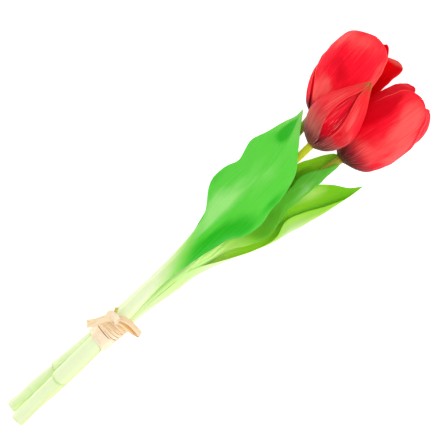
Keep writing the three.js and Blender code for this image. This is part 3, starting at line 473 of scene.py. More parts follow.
def leaf_material(name, seed, stops, under, vein, dark, light, green_from=0.5, turn=0.0, slant=0.0, flank_shade=0.0):
    """stops: colours over the whole length, sheath first; under: colours of the other face of the blade."""
    m, nt, bsdf = new_material(name)
    N = Nodes(nt)
    along, arc, back, shade = N.attr("along"), N.attr("arc"), N.attr("backside"), N.attr("shade")
    cre = N.attr("crevice")
    lines = N.noise(N.combine(N.math("MULTIPLY", arc, 1.1), N.math("MULTIPLY", along, 2.2), float(seed)), 1.4, 3.0, 0.6)
    broad = N.noise(N.combine(N.math("MULTIPLY", arc, 0.11), N.math("MULTIPLY", along, 6.0), seed + 5.0), 1.0, 3.0, 0.5)
    grain = N.noise(N.combine(N.math("MULTIPLY", arc, 2.0), N.math("MULTIPLY", along, 260.0), seed + 2.0), 1.0, 2.0, 0.5)
    reach = along
    if slant:      # the green starts lower on one side of the blade
        reach = N.math("ADD", along, N.math("MULTIPLY", N.math("MULTIPLY", arc, slant), N.rangemap(along, 0.5, 0.68, 1.0, 0.0)))
    pos = N.math("ADD", reach, N.math("MULTIPLY", N.math("SUBTRACT", lines, 0.5), 0.07))
    base = N.ramp(pos, stops)
    other = N.ramp(pos, under)
    other = N.mix(N.math("MULTIPLY", N.rangemap(N.attr("across"), 0.62, 0.98, 0.0, turn), N.rangemap(along, green_from - 0.04, green_from + 0.1, 0.0, 1.0)), other, base)
    base = N.mix(N.rangemap(back, 0.45, 0.55, 0.0, 1.0), base, other)
    blade = N.rangemap(reach, green_from - 0.06, green_from + 0.08, 0.0, 1.0)
    # painted highlight (light) and painted shade (dark) from the patch attribute, varied by random tone from the broad
    # noise
    lift = N.math("ADD", shade, N.math("MULTIPLY", N.math("SUBTRACT", broad, 0.5), 1.3))
    base = N.mix(N.math("MULTIPLY", N.rangemap(lift, 0.05, 0.9, 0.0, 0.8), blade), base, light)
    base = N.mix(N.math("MULTIPLY", N.rangemap(lift, -0.9, -0.05, 0.85, 0.0), blade), base, dark)
    base = N.mix(N.math("MULTIPLY", N.rangemap(lines, 0.54, 0.76, 0.0, 0.34), blade), base, vein)
    base = N.mix(N.math("MULTIPLY", N.rangemap(lines, 0.46, 0.28, 0.0, 0.22), blade), base, dark)
    base = N.mix(N.math("MULTIPLY", N.rangemap(lines, 0.5, 0.76, 0.0, 0.4), N.math("SUBTRACT", 1.0, blade)), base, srgb(190, 230, 130))
    # painted light: lime in the grooves between stems, where light shows through the translucent stems
    base = N.mix(N.math("MULTIPLY", N.rangemap(cre, 0.15, 0.9, 0.0, 0.8), N.math("SUBTRACT", 1.0, blade)), base, srgb(176, 236, 84))
    if flank_shade:      # painted shade: one flank of the sheath is toned warmer and darker, to damp the strong key light on that side
        base = N.mix(N.math("MULTIPLY", N.rangemap(arc, 3.0, 6.5, 0.0, flank_shade), N.math("SUBTRACT", 1.0, blade)), base, N.mix(1.0, base, (0.9, 0.86, 0.7), "MULTIPLY"))
    base = N.mix(N.rangemap(along, 0.0, 0.01, 0.6, 0.0), base, srgb(186, 230, 108))
    N.put(bsdf.inputs["Base Color"], base)
    N.put(bsdf.inputs["Roughness"], N.rangemap(broad, 0.2, 0.8, 0.4, 0.54))
    bsdf.inputs["Specular IOR Level"].default_value = 0.16
    bsdf.inputs["Subsurface Weight"].default_value = 0.1
    bsdf.inputs["Subsurface Radius"].default_value = (0.003, 0.004, 0.0014)
    bsdf.inputs["Subsurface Scale"].default_value = 0.6
    # lime self-glow: painted light in the grooves between stems, and on inner faces and margins where glow is set,
    # lifting the shade there
    bsdf.inputs["Emission Color"].default_value = (*srgb(176, 236, 84), 1.0)
    inner = N.math("MULTIPLY", N.attr("glow"), N.math("MAXIMUM", N.rangemap(back, 0.45, 0.9, 1.0, 0.0), N.rangemap(N.attr("across"), 0.8, 0.94, 0.0, 1.3)))
    N.put(bsdf.inputs["Emission Strength"], N.math("MULTIPLY", N.math("ADD", N.math("MULTIPLY", cre, N.math("SUBTRACT", 1.0, blade)), inner), 0.26))
    N.put(bsdf.inputs["Normal"], N.bump(N.math("ADD", lines, N.math("MULTIPLY", grain, 0.15)), 0.0004, 0.35))
    return m


def stem_material(name, seed, tip, pale=0.0):
    m, nt, bsdf = new_material(name)
    N = Nodes(nt)
    along, rnd, mm, cre = N.attr("along"), N.attr("round", True), N.attr("mm"), N.attr("crevice")
    sep = N.add("ShaderNodeSeparateXYZ")
    nt.links.new(rnd, sep.inputs[0])
    v = N.combine(N.math("MULTIPLY", sep.outputs[0], 2.2), N.math("MULTIPLY", sep.outputs[1], 2.2), N.math("MULTIPLY", mm, 0.012))
    lines = N.noise(v, 2.2, 3.0, 0.6)
    spots = N.noise(N.combine(sep.outputs[0], sep.outputs[1], N.math("MULTIPLY", mm, 0.05)), 1.6, 4.0, 0.55)
    grain = N.noise(N.combine(N.math("MULTIPLY", sep.outputs[0], 9.0), N.math("MULTIPLY", sep.outputs[1], 9.0), N.math("MULTIPLY", mm, 0.6)), 1.0, 3.0, 0.6)
    # with pale, stem c is lighter where it lies in the front leaf's shadow: partly its own paler colour, partly painted
    # light
    base = N.ramp(along, [(0.0, srgb(232, 244, 200)), (0.35, srgb(230, 244, 196)), (0.55 + 0.13 * pale, srgb(196 + 16 * pale, 226 + 14 * pale, 120 + 30 * pale)), (0.8 + 0.04 * pale, srgb(150, 182, 50)), (0.93, tip), (1.0, tip)])
    base = N.mix(N.rangemap(lines, 0.5, 0.75, 0.0, 0.6), base, N.mix(1.0, base, (0.8, 0.93, 0.6), "MULTIPLY"))
    base = N.mix(N.rangemap(spots, 0.58, 0.8, 0.0, 0.3), base, N.mix(1.0, base, (0.95, 0.88, 0.72), "MULTIPLY"))
    base = N.mix(N.rangemap(grain, 0.55, 0.75, 0.0, 0.15), base, N.mix(1.0, base, (0.85, 0.9, 0.75), "MULTIPLY"))
    # painted light: lime in the grooves between stems, where light shows through the translucent stems
    base = N.mix(N.math("MULTIPLY", N.rangemap(cre, 0.15, 0.9, 0.0, 0.85), N.rangemap(along, 0.4, 0.55, 1.0, 0.0)), base, srgb(172, 236, 78))
    # painted shade: the flank facing the key light is toned warmer and darker, to damp the light there
    base = N.mix(N.math("MULTIPLY", N.rangemap(sep.outputs[0], 0.3, 0.85, 0.0, 0.9), N.rangemap(along, 0.3, 0.5, 1.0, 0.0)), base, N.mix(1.0, base, (0.9, 0.86, 0.7), "MULTIPLY"))
    base = N.mix(N.rangemap(along, 0.0, 0.006, 0.35, 0.0), base, srgb(214, 214, 160))
    N.put(bsdf.inputs["Base Color"], base)
    N.put(bsdf.inputs["Roughness"], N.rangemap(spots, 0.3, 0.7, 0.42, 0.58))
    bsdf.inputs["Specular IOR Level"].default_value = 0.3
    bsdf.inputs["Subsurface Weight"].default_value = 0.3
    bsdf.inputs["Subsurface Radius"].default_value = (0.003, 0.004, 0.0014)
    bsdf.inputs["Subsurface Scale"].default_value = 0.7
    # lime self-glow: painted light in the grooves between stems and, with pale, on the part of stem c in the front
    # leaf's shadow
    bsdf.inputs["Emission Color"].default_value = (*srgb(176, 236, 84), 1.0)
    glow = N.math("MULTIPLY", N.math("MULTIPLY", cre, N.rangemap(along, 0.4, 0.55, 1.0, 0.0)), 0.26)
    if pale:
        glow = N.math("ADD", glow, N.math("MULTIPLY", N.rangemap(along, 0.5, 0.58, 0.0, 0.22 * pale), N.rangemap(along, 0.7, 0.8, 1.0, 0.0)))
    N.put(bsdf.inputs["Emission Strength"], glow)
    N.put(bsdf.inputs["Normal"], N.bump(N.math("ADD", lines, N.math("MULTIPLY", grain, 0.2)), 0.0005, 0.3))
    return m


def raffia_material(name, seed, warm=0.0, inside=0.35, tint=(1.0, 1.0, 1.0)):
    m, nt, bsdf = new_material(name)
    N = Nodes(nt)
    across, mm, back = N.attr("fibre"), N.attr("mm"), N.attr("backside")
    fibres = N.noise(N.combine(N.math("MULTIPLY", across, 3.4), N.math("MULTIPLY", mm, 0.09), float(seed)), 2.0, 4.0, 0.65)
    broad = N.noise(N.combine(N.math("MULTIPLY", across, 0.8), N.math("MULTIPLY", mm, 0.16), seed + 3.0), 1.2, 3.0, 0.5)
    base = N.ramp(fibres, [(0.3, srgb(216, 160, 96)), (0.4, srgb(247, 217, 174)), (0.51, srgb(252, 236, 210)), (0.7, srgb(255, 247, 230))])
    base = N.mix(N.rangemap(broad, 0.45, 0.75, 0.0, min(0.25 + warm, 1.0)), base, srgb(246, 208, 150))
    # back faces turn warmer orange: partly the raffia's other face, partly painted shade on the inside of the loop, set
    # by inside
    base = N.mix(N.math("MULTIPLY", N.rangemap(back, 0.45, 0.55, 0.0, 1.0), inside), base, srgb(246, 202, 132))
    base = N.mix(1.0, base, tint, "MULTIPLY")
    N.put(bsdf.inputs["Base Color"], base)
    N.put(bsdf.inputs["Roughness"], N.rangemap(fibres, 0.3, 0.7, 0.75, 0.52))
    bsdf.inputs["Specular IOR Level"].default_value = 0.3
    bsdf.inputs["Subsurface Weight"].default_value = 0.1
    bsdf.inputs["Subsurface Radius"].default_value = (0.002, 0.0014, 0.0007)
    bsdf.inputs["Subsurface Scale"].default_value = 0.4
    # faint warm self-glow, painted light that brightens all the raffia
    bsdf.inputs["Emission Color"].default_value = (*srgb(255, 210, 146), 1.0)
    bsdf.inputs["Emission Strength"].default_value = 0.045
    N.put(bsdf.inputs["Normal"], N.bump(fibres, 0.0007, 0.6))
    return m


def metal_material(name):
    m, nt, bsdf = new_material(name)
    N = Nodes(nt)
    co = N.add("ShaderNodeTexCoord").outputs["Object"]
    g = N.noise(co, 900.0, 3.0, 0.6)
    N.put(bsdf.inputs["Base Color"], N.ramp(g, [(0.3, (0.35, 0.35, 0.36)), (0.7, (0.5, 0.5, 0.51))]))
    N.put(bsdf.inputs["Roughness"], N.rangemap(g, 0.3, 0.7, 0.3, 0.45))
    bsdf.inputs["Metallic"].default_value = 1.0
    return m


def core_material(name):
    m, nt, bsdf = new_material(name)
    N = Nodes(nt)
    rnd = N.attr("round", True)
    mm = N.attr("mm")
    sep = N.add("ShaderNodeSeparateXYZ")
    nt.links.new(rnd, sep.inputs[0])
    g = N.noise(N.combine(N.math("MULTIPLY", sep.outputs[0], 3.0), N.math("MULTIPLY", sep.outputs[1], 3.0), N.math("MULTIPLY", mm, 0.25)), 2.0, 3.0, 0.6)
    N.put(bsdf.inputs["Base Color"], N.ramp(g, [(0.3, srgb(120, 110, 48)), (0.55, srgb(168, 164, 84)), (0.8, srgb(206, 200, 130))]))
    N.put(bsdf.inputs["Roughness"], N.rangemap(g, 0.3, 0.7, 0.45, 0.65))
    N.put(bsdf.inputs["Normal"], N.bump(g, 0.0006, 0.5))
    return m


# ------------------------------------------------------------------ stems
def build_stem(k):
    rows = np.array(STEM[k], float)
    x0, x1 = rows[0, 0], rows[-1, 0]
    n = 240
    x = x0 + (x1 - x0) * np.linspace(0, 1, n)
    x = np.concatenate([[x0, x0, x0, x0 + 0.06, x0 + 0.25, x0 + 0.6, x0 + 1.15], x[2:]])
    p = stem_at(k, x)
    r = p[:, 3].copy()
    r[:7] = rows[0, 3] * np.array([0.02, 0.4, 0.66, 0.8, 0.89, 0.95, 0.985])
    if k == "a":   # growth ring on the lower part of this stem
        r += 0.6 * smooth(x, -170.6, -169.4) * (1 - smooth(x, -156, -148)) + 0.3 * np.exp(-((x + 169.0) / 0.9) ** 2)
    c = p[:, :3].copy()
    c[0, 0] += 0.55
    c[1, 0] += 0.4
    c[2, 0] += 0.14
    sides = 48
    w = 2 * np.pi * np.arange(sides) / sides
    along = (x - x0) / (x1 - x0)
    groove = np.zeros((len(x), sides))
    for f, a, ph in ((3, 0.022, 0.4), (5, 0.018, 1.7), (9, 0.012, 2.9), (13, 0.008, 0.2)):
        groove += a * np.cos(f * w[None] + ph + 0.5 * np.sin(2.4 * along[:, None] * f + ord(k)))
    groove *= smooth(along, 0.006, 0.03)[:, None]
    swell = 1 + 0.014 * wobble(along * 7, 11 + ord(k))
    body = r[:, None] * swell[:, None] * (1 + groove)
    tips = {"a": srgb(118, 134, 16), "b": srgb(188, 194, 6), "c": srgb(164, 166, 34)}
    ob = tube(f"stem_{k}_skin", c, body, sides, stem_material(f"stem_{k}", 3, tips[k], 1.0 if k == "c" else 0.0), {"along": along, "mm": x}, own=k)
    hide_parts(f"tulip_{k}_stem", f"tulip_{k}_neck")
    a, b = stem_at(k, NECK[k] - 7)[:3], stem_at(k, NECK[k] + 7)[:3]
    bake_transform(ob)
    return ob


# ------------------------------------------------------------------ leaves
def leaf_rows(leaf):
    x0, x1 = leaf["sheath"]
    rows = []
    for i in range(7):
        st = stem_at(leaf["stem"], x0 + (x1 - x0) * i / 6)
        r = st[3] + SHEATH_GAP + SHEATH_T / 2 + leaf["widen"] * float(smooth(i / 6, 0.45, 0.85))
        rows.append([st[0], st[1], st[2] - leaf["side"] * r, r, SHEATH_ANGLE, r, SHEATH_ANGLE, 1])
    return np.array(rows + [r if len(r) == 8 else r + [1] for r in leaf["open"]], float)


def leaf_surface(rows, side, t, s):
    d = np.r_[0, np.cumsum(np.linalg.norm(np.diff(rows[:, :3], axis=0), axis=1))]
    ts = d / d[-1]
    q = hermite(ts, rows, t)
    e = 1e-3
    tan = unit(hermite(ts, rows[:, :3], np.minimum(t + e, 1)) - hermite(ts, rows[:, :3], np.maximum(t - e, 0)))
    right = unit(np.cross(tan, [0.0, 0, 1]))
    inner = np.cross(right, tan) * side
    left = (s < 0)[None, :]
    dd = np.maximum(np.where(left, q[:, 3:4], q[:, 5:6]), 0)
    b = np.radians(np.where(left, q[:, 4:5], q[:, 6:7]))
    flat = np.where(left, 1.0, q[:, 7:8])
    m = np.sin(np.minimum(b, np.pi / 2))
    k = np.abs(s)[None, :]
    u = np.sign(s)[None, :] * dd * np.sin(b * k) / m
    v = flat * dd * (1 - np.cos(b * k)) / m
    P = q[:, None, :3] + u[..., None] * right[:, None] + v[..., None] * inner[:, None]
    step = np.linalg.norm(np.diff(P, axis=1), axis=2)
    arc = np.concatenate([np.zeros((len(t), 1)), np.cumsum(step, axis=1)], axis=1)
    arc = arc - arc[:, len(s) // 2][:, None]
    return P, q, arc


def build_leaf(name, material, wave=1.0, seed=0, painted_light_patches=(), ns=45, tongue=0.0, margins=((), ()), glow=()):
    leaf = LEAF[name]
    rows = leaf_rows(leaf)
    nt = 210
    t = np.linspace(0, 1, nt)
    t = np.concatenate([[0], t[1:-1], [0.9985]])
    lin = np.linspace(-1, 1, ns)
    s = np.sin(lin * np.pi / 2) * 0.3 + lin * 0.7
    P, q, arc = leaf_surface(rows, leaf["side"], t, s)
    x = np.repeat(q[:, :1], ns, 1)
    S = np.repeat(s[None], nt, 0)
    # the cut edge of the sheath is a rounded tongue
    k = np.abs(S) if leaf["side"] < 0 else 1 - np.abs(S)
    P[..., 0] += tongue * k**1.6 * (1 - smooth(t, 0, 0.06))[:, None]
    across = unit(P[:, -1] - P[:, 0] + 1e-9)
    for sign, pts in zip((-1, 1), margins):      # small irregularities of the two margins
        for x0, wx, k0 in pts:
            P = P + (np.clip(sign * S, 0, 1) ** 2 * k0 * np.exp(-((x - x0) / wx) ** 2))[..., None] * (sign * across[:, None])
    N = unit(np.cross(np.gradient(P, axis=1), np.gradient(P, axis=0)))
    bend_x = leaf["bend"]
    xm = q[:, 0]
    width = (arc[:, -1] - arc[:, 0]) / 2
    on = smooth(xm, bend_x + 5, bend_x + 40) * (1 - smooth(xm, xm.max() - 14, xm.max()))
    amp = wave * on * np.minimum(width / 16.0, 1.1)
    right = wobble(t * 3.2, seed + 1)[:, None] * np.clip(s, 0, 1)[None] ** 2
    left = wobble(t * 3.4, seed + 2)[:, None] * np.clip(-s, 0, 1)[None] ** 2
    P = P + N * (amp[:, None] * (right + left))[..., None]
    ribs = 0.05 * np.cos(2 * np.pi * arc / 1.7) + 0.03 * np.cos(2 * np.pi * arc / 2.9 + 1.0)
    P = P + N * (ribs * on[:, None] * (1 - np.abs(S) ** 6))[..., None]
    P = P + N * (0.32 * wave * np.exp(-((arc / 1.1) ** 2)) * on[:, None])[..., None]     # midrib
    thick = SHEATH_T + (1.1 - SHEATH_T) * smooth(xm, bend_x - 25, bend_x + 15)[:, None]
    thick = thick * (1 - 0.42 * S**2) * (1 - 0.45 * smooth(t, 0.9, 1.0))[:, None]
    # shade holds painted highlight (+) and painted shade (-) patches; glow marks where emission paints light in
    attrs = {"along": np.repeat(t[:, None], ns, 1), "across": np.abs(S), "arc": arc, "shade": blobs(painted_light_patches, x, S), "glow": blobs(glow, x, S),
             "crevice": crevice(P, leaf["stem"]) * (1 - smooth(x, bend_x - 10, bend_x + 25))}
    ob = shell(name, P, thick, attrs, material)
    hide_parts(name + "_sheath", name + "_blade")
    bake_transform(ob)
    return ob


# ------------------------------------------------------------------ flowers
def flower_frame(f):
    w = unit(np.array(f["axis"], float))
    v = unit(np.cross(w, [0.0, 0, 1]))
    return np.array(f["base"], float), w, v, np.cross(v, w)


def build_petal(k, layer, index, material):
    base, w, v, u = flower_frame(FLOWER[k])
    p = PETALS[k][layer][index]
    seed = 31 * (ord(k) - 96) + 7 * index + (0 if layer == "outer" else 3)
    top = p["top"]
    t = np.concatenate([np.linspace(0, top, 52)[:-1], top + (1 - top) * np.sin(np.linspace(0, 0.985, 22) * np.pi / 2)])
    nt, ns = len(t), 49
    lin = np.linspace(-1, 1, ns)
    s = np.sin(lin * np.pi / 2) * 0.3 + lin * 0.7
    T, S = t[:, None], s[None, :]
    curve = lambda key: hermite(STATIONS, p[key], t)[:, None]
    left, right = curve("left"), curve("right")
    q = np.clip((T - top) / (1 - top), 0, 1)
    centre, half = (left + right) / 2, (right - left) / 2
    half = half * np.sqrt(np.maximum(1 - q**2, 0))
    centre = centre + (p["tip"] - centre) * q**2
    phi = np.radians(centre + half * S)
    r = curve("r") + 0 * S
    h = curve("h") + 0 * S
    arc = S * np.radians(half) * r
    mer = 18.0 * phi
    open_ = 1 - q**2
    r = r + curve("flare_l") * ((1 - S) / 2) ** 5 + curve("flare_r") * ((1 + S) / 2) ** 5
    r = r + p["lip"] * q**3
    # lengthwise flutes, a shallow middle groove and a slightly restless margin
    big = smooth(T, 0.1, 0.4) * (0.35 + 0.65 * open_)
    k0 = 0.6 if k == "b" else 1.0
    flute = 0.15 * np.cos(mer / 2.4 + seed) + 0.09 * np.cos(mer / 1.15 + 2.2 * seed + 1.5 * T) + 0.05 * np.cos(mer / 0.62 + seed * 1.3 + 2 * T)
    r = r + k0 * big * (flute * (1 - np.abs(S) ** 4) - 0.22 * np.exp(-((arc / 1.5) ** 2)))
    r = r + 0.5 * k0 * big * np.abs(S) ** 3 * wobble(T * 2.2 + 0.35 * np.sign(S), seed + 5)
    h = h + 0.55 * k0 * big * np.abs(S) ** 2 * wobble(np.sign(S) * 0.3 + T * 1.5, seed + 8) + 0.5 * k0 * q**2 * wobble(S * 0.6, seed + 2)
    # uneven flutes at the base, where the petal is pinched to the stem
    r = r * (1 + 0.03 * np.cos(7 * S * 1.6 + seed) * (1 - smooth(T, 0.03, 0.2)) * smooth(T, 0.0, 0.03))
    if "crease" in p:      # the margin of the next petal in shows as a step
        c0, depth = p["crease"]
        r = r - depth * smooth(np.degrees(phi), c0, c0 + 5.0) * smooth(T, 0.05, 0.3)
    P = base + w * h[..., None] + (r * np.cos(phi))[..., None] * u + (r * np.sin(phi))[..., None] * v
    lie = P[..., 2] - 0.55      # the heads rest on the table, softly flattened
    P[..., 2] = 0.55 + np.where(lie > 1.6, lie, 1.6 * np.exp((np.minimum(lie, 1.6) - 1.6) / 1.6))
    thick = (1.05 + 0 * S) * (1 - 0.3 * S**2) * (1 - 0.28 * q**2)
    ones = np.ones((nt, ns))
    edge = np.maximum(np.abs(S) * ones, np.sqrt(np.clip(q, 0, 1)) ** 3 * ones)
    attrs = {"along": T * ones, "across": np.abs(S) * ones, "edge": edge, "arc": mer * ones,
             "shade": blobs(PAINTED_LIGHT_PATCHES.get((k, layer, index), []), T * ones, S * ones)}
    ob = shell(f"petal_{k}_{layer}_{index + 1}", P, thick, attrs, material)
    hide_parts(f"tulip_{k}_{layer}_petal_{index + 1}")
    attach(ob, f"head_{k}")
    return ob


def turned(name, k, points, sides, material):
    base, w, v, u = flower_frame(FLOWER[k])
    pts = np.array(points, float)
    ang = 2 * np.pi * np.arange(sides) / sides
    ring = base + pts[:, None, 1:2] * w + pts[:, None, 0:1] * (np.cos(ang)[None, :, None] * v + np.sin(ang)[None, :, None] * u)
    verts = ring.reshape(-1, 3)
    faces = ring_faces(len(pts), sides)
    faces += [tuple(range(sides))[::-1], tuple((len(pts) - 1) * sides + j for j in range(sides))]
    rnd = np.stack(np.broadcast_arrays(np.cos(ang)[None, :], np.sin(ang)[None, :], np.zeros((len(pts), 1))), -1).reshape(-1, 3)
    mm = np.repeat(pts[:, 1:2], sides, 1).ravel()
    return make_mesh(name, verts, orient(verts, faces), {"round": rnd, "mm": mm}, material)


# ------------------------------------------------------------------ raffia
def wrap_outline(x, grow, n=200):
    """Stretched outline round the three sheaths at x: points (y, z) and outward normals."""
    discs = []
    for k in "abc":
        s = stem_at(k, x)
        discs.append((s[1], s[2], s[3] + SHEATH_GAP + SHEATH_T + 0.35))
    f = np.linspace(0, 2 * np.pi, 720, endpoint=False)
    pts = []
    for c, sn in zip(np.cos(f), np.sin(f)):
        y, z, r = max(discs, key=lambda d: d[0] * c + d[1] * sn + d[2])
        pts.append((y + (r + grow) * c, z + (r + grow) * sn))
    pts = np.array(pts)
    loop = np.vstack([pts, pts[:1]])
    d = np.r_[0, np.cumsum(np.linalg.norm(np.diff(loop, axis=0), axis=1))]
    at = np.linspace(0, d[-1], n, endpoint=False)
    out = np.stack([np.interp(at, d, loop[:, 0]), np.interp(at, d, loop[:, 1])], 1)
    tan = np.roll(out, -1, 0) - np.roll(out, 1, 0)
    nor = unit(np.stack([tan[:, 1], -tan[:, 0]], 1))
    return out, nor, at


def raffia_loop(name, x, half, grow, thick, lean, seed, material, dome=0.0, na=13, widen=0.0, ridge_k=1.0):
    """One turn of raffia round the bunch with its fibres as ridges; lean = drift along x per mm of y."""
    pts, nor, at = wrap_outline(x, grow)
    n = len(pts)
    g = np.random.default_rng(seed)
    a = np.linspace(-1, 1, na)
    phase = np.linspace(0, 2 * np.pi, n, endpoint=False)
    off = pts[:, 0] + 7.0
    xc = x + lean * off + 0.14 * np.sin(phase + g.uniform(0, 6)) + 0.08 * np.sin(3 * phase + g.uniform(0, 6))
    wid = half * (1 + 0.06 * np.sin(2 * phase + g.uniform(0, 6)) + 0.04 * np.sin(5 * phase + g.uniform(0, 6))) - widen * off
    lift = 0.08 * np.sin(2 * phase + g.uniform(0, 6)) + 0.05 * np.sin(7 * phase + g.uniform(0, 6))
    ridge = np.zeros((n, na))
    for f in (2.5, 4.5, 7.5):
        ridge += ridge_k * (0.12 / f**0.6) * np.cos(f * np.pi * a[None] + g.uniform(0, 6) + 0.5 * np.sin(phase[:, None] * 2 + f))
    top = thick / 2 + dome * (1 - a[None] ** 2) + ridge * (1 - a[None] ** 6) * 0.8 + lift[:, None]
    low = -thick / 2 + 0 * ridge + lift[:, None] * 0.5

    def place(o, aa):
        y = pts[:, 0:1] + nor[:, 0:1] * o
        z = pts[:, 1:2] + nor[:, 1:2] * o
        return np.stack([xc[:, None] + wid[:, None] * aa[None], y, z], -1)
    ring = np.concatenate([place(top, a), place(low, a)[:, ::-1]], 1)
    m = ring.shape[1]
    verts = ring.reshape(-1, 3)
    faces = ring_faces(n, m, True)
    fib = np.concatenate([np.repeat((a * half)[None], n, 0), np.repeat((a[::-1] * half)[None], n, 0)], 1).ravel() + 9.0 * seed
    mm = np.repeat(at[:, None], m, 1).ravel()
    back = np.concatenate([np.zeros((n, na)), np.ones((n, na))], 1).ravel()
    return make_mesh(name, verts, orient(verts, faces), {"fibre": fib, "mm": mm, "backside": back}, material)


TIE_DROP = 1.2      # the knot sits down on the wraps


def raffia_strip(name, path, across, width, thick, material, seed, n=90, na=17, taper=(1, 1), cup=0.0, fray=0.6, closed=False):
    """Flat strip along a smooth path; across: width direction at each path point."""
    path, across = np.array(path, float) - [0, 0, TIE_DROP], np.array(across, float)
    if across.ndim == 1:
        across = np.repeat(across[None], len(path), 0)
    d = np.r_[0, np.cumsum(np.linalg.norm(np.diff(path, axis=0), axis=1))]
    t = np.linspace(0, 1, n)
    c = hermite(d / d[-1], path, t)
    tan = unit(np.gradient(c, axis=0))
    ac = hermite(d / d[-1], across, t)
    ac = unit(ac - (ac * tan).sum(1, keepdims=True) * tan)
    up = np.cross(tan, ac)
    g = np.random.default_rng(seed)
    a = np.linspace(-1, 1, na)
    half = width / 2 * (taper[0] + (taper[1] - taper[0]) * t) * (1 + 0.05 * wobble(t * 2, seed))
    ridge = np.zeros((n, na))
    for f in (2.5, 4.5, 7.5):
        ridge += (0.12 / f**0.6) * np.cos(f * np.pi * a[None] + g.uniform(0, 6) + 0.6 * np.sin(t[:, None] * 5 + f))
    ends = g.uniform(-1, 1, na) * fray
    P = c[:, None] + ac[:, None] * (half[:, None] * a[None])[..., None] + up[:, None] * (cup * a[None] ** 2)[..., None]
    P = P + tan[:, None] * (smooth(t, 0.93, 1.0)[:, None] * ends[None])[..., None]
    top = P + up[:, None] * (thick / 2 + ridge * (1 - a[None] ** 6) * 0.8)[..., None]
    low = P - up[:, None] * (thick / 2 + 0.4 * ridge)[..., None]
    ring = np.concatenate([top, low[:, ::-1]], 1)
    m = ring.shape[1]
    verts = ring.reshape(-1, 3)
    faces = ring_faces(n, m)
    for i in (0, n - 1):
        o = i * m
        cap = [(o + j, o + j + 1, o + m - 2 - j, o + m - 1 - j) for j in range(na - 1)]
        faces += cap if i else [tuple(reversed(f)) for f in cap]
    fib = np.concatenate([np.repeat((a * width / 2)[None], n, 0), np.repeat((a[::-1] * width / 2)[None], n, 0)], 1).ravel() + 9.0 * seed
    mm = np.repeat((t * d[-1])[:, None], m, 1).ravel()
    back = np.concatenate([np.zeros((n, na)), np.ones((n, na))], 1).ravel()
    return make_mesh(name, verts, orient(verts, faces), {"fibre": fib, "mm": mm, "backside": back}, material)


# ------------------------------------------------------------------ build
for k in "abc":
    build_stem(k)

PALE = srgb(234, 247, 200)
front_top = [(0.0, PALE), (0.36, PALE), (0.42, srgb(206, 236, 160)), (0.48, srgb(136, 218, 90)), (0.55, srgb(76, 202, 46)), (0.66, srgb(88, 206, 58)), (0.9, srgb(92, 207, 62)), (1.0, srgb(140, 204, 104))]
front_low = [(0.0, PALE), (0.4, PALE), (0.55, srgb(150, 214, 110)), (1.0, srgb(112, 196, 76))]
outer_top = [(0.0, PALE), (0.16, PALE), (0.28, srgb(216, 242, 166)), (0.38, srgb(208, 240, 156)), (0.46, srgb(196, 232, 100)), (0.56, srgb(164, 222, 40)), (0.75, srgb(150, 216, 30)), (1.0, srgb(112, 196, 4))]
outer_low = [(0.0, PALE), (0.16, PALE), (0.28, srgb(216, 242, 166)), (0.38, srgb(212, 241, 164)), (0.5, srgb(226, 244, 194)), (0.6, srgb(222, 242, 198)), (0.72, srgb(210, 238, 170)), (0.84, srgb(180, 226, 96)), (1.0, srgb(132, 206, 26))]
inner_top = [(0.0, PALE), (0.2, PALE), (0.36, srgb(186, 222, 92)), (0.5, srgb(160, 214, 36)), (0.75, srgb(150, 214, 16)), (1.0, srgb(142, 206, 20))]
inner_low = [(0.0, PALE), (0.2, PALE), (0.34, srgb(170, 218, 100)), (0.46, srgb(122, 198, 40)), (0.65, srgb(86, 180, 32)), (0.85, srgb(80, 174, 40)), (1.0, srgb(92, 180, 40))]
back_top = [(0.0, PALE), (0.38, PALE), (0.5, srgb(180, 226, 120)), (0.62, srgb(110, 196, 64)), (1.0, srgb(56, 170, 34))]
build_leaf("leaf_front", leaf_material("leaf_front", 2, front_top, front_low, srgb(112, 214, 84), srgb(10, 170, 0), srgb(164, 232, 130), 0.52, slant=0.011, flank_shade=0.9), 1.5, 5,
           [(-17, -0.5, 14, 0.4, 1.0), (2, -0.4, 14, 0.3, 0.85), (16, -0.2, 14, 0.22, 0.6), (36, -0.05, 18, 0.36, 0.3), (72, -0.35, 8, 0.3, -1.7), (-30, 0.5, 15, 0.7, -1.2), (-10, 0.5, 13, 0.4, -1.1),
            (8, 0.65, 11, 0.35, -0.8), (30, 0.9, 12, 0.2, -0.7), (18, -0.9, 10, 0.25, -0.25)], tongue=9.0,
           margins=(((0.9, 7, -1.2), (15.5, 8, 1.4), (35, 6, -2.0), (55, 9, 0.9)), ((20, 9, 0.4), (-6, 8, -0.5))))
build_leaf("leaf_outer", leaf_material("leaf_outer", 13, outer_top, outer_low, srgb(186, 230, 106), srgb(112, 194, 0), srgb(198, 234, 120), 0.5, 0.85), 0.4, 15,
           [(52, -0.6, 14, 0.35, 0.8), (62, 0.1, 16, 0.25, -0.9), (40, 0.2, 14, 0.2, -0.6), (74, 0.0, 9, 0.6, -0.6), (16, 0.3, 14, 0.3, -0.4)], ns=65, glow=[(-46, 0.0, 30, 3.0, 0.55), (42, 1.0, 26, 0.3, 0.45)])
build_leaf("leaf_inner", leaf_material("leaf_inner", 23, inner_top, inner_low, srgb(134, 206, 70), srgb(76, 160, 8), srgb(150, 206, 118), 0.4), 0.3, 25,
           [(56, 0.72, 18, 0.12, 0.5), (25, 0.77, 13, 0.13, -1.4), (34, 0.5, 16, 0.14, -0.9), (10, 0.5, 12, 0.14, -0.6), (60, -0.15, 14, 0.3, -0.5), (72, 0.5, 10, 0.2, -0.4)], ns=65, glow=[(-28, 0.0, 26, 3.0, 1.0)])
build_leaf("leaf_back", leaf_material("leaf_back", 33, back_top, back_top, srgb(150, 214, 104), srgb(40, 160, 22), srgb(160, 222, 120), 0.52), 0.9, 35, tongue=7.0)

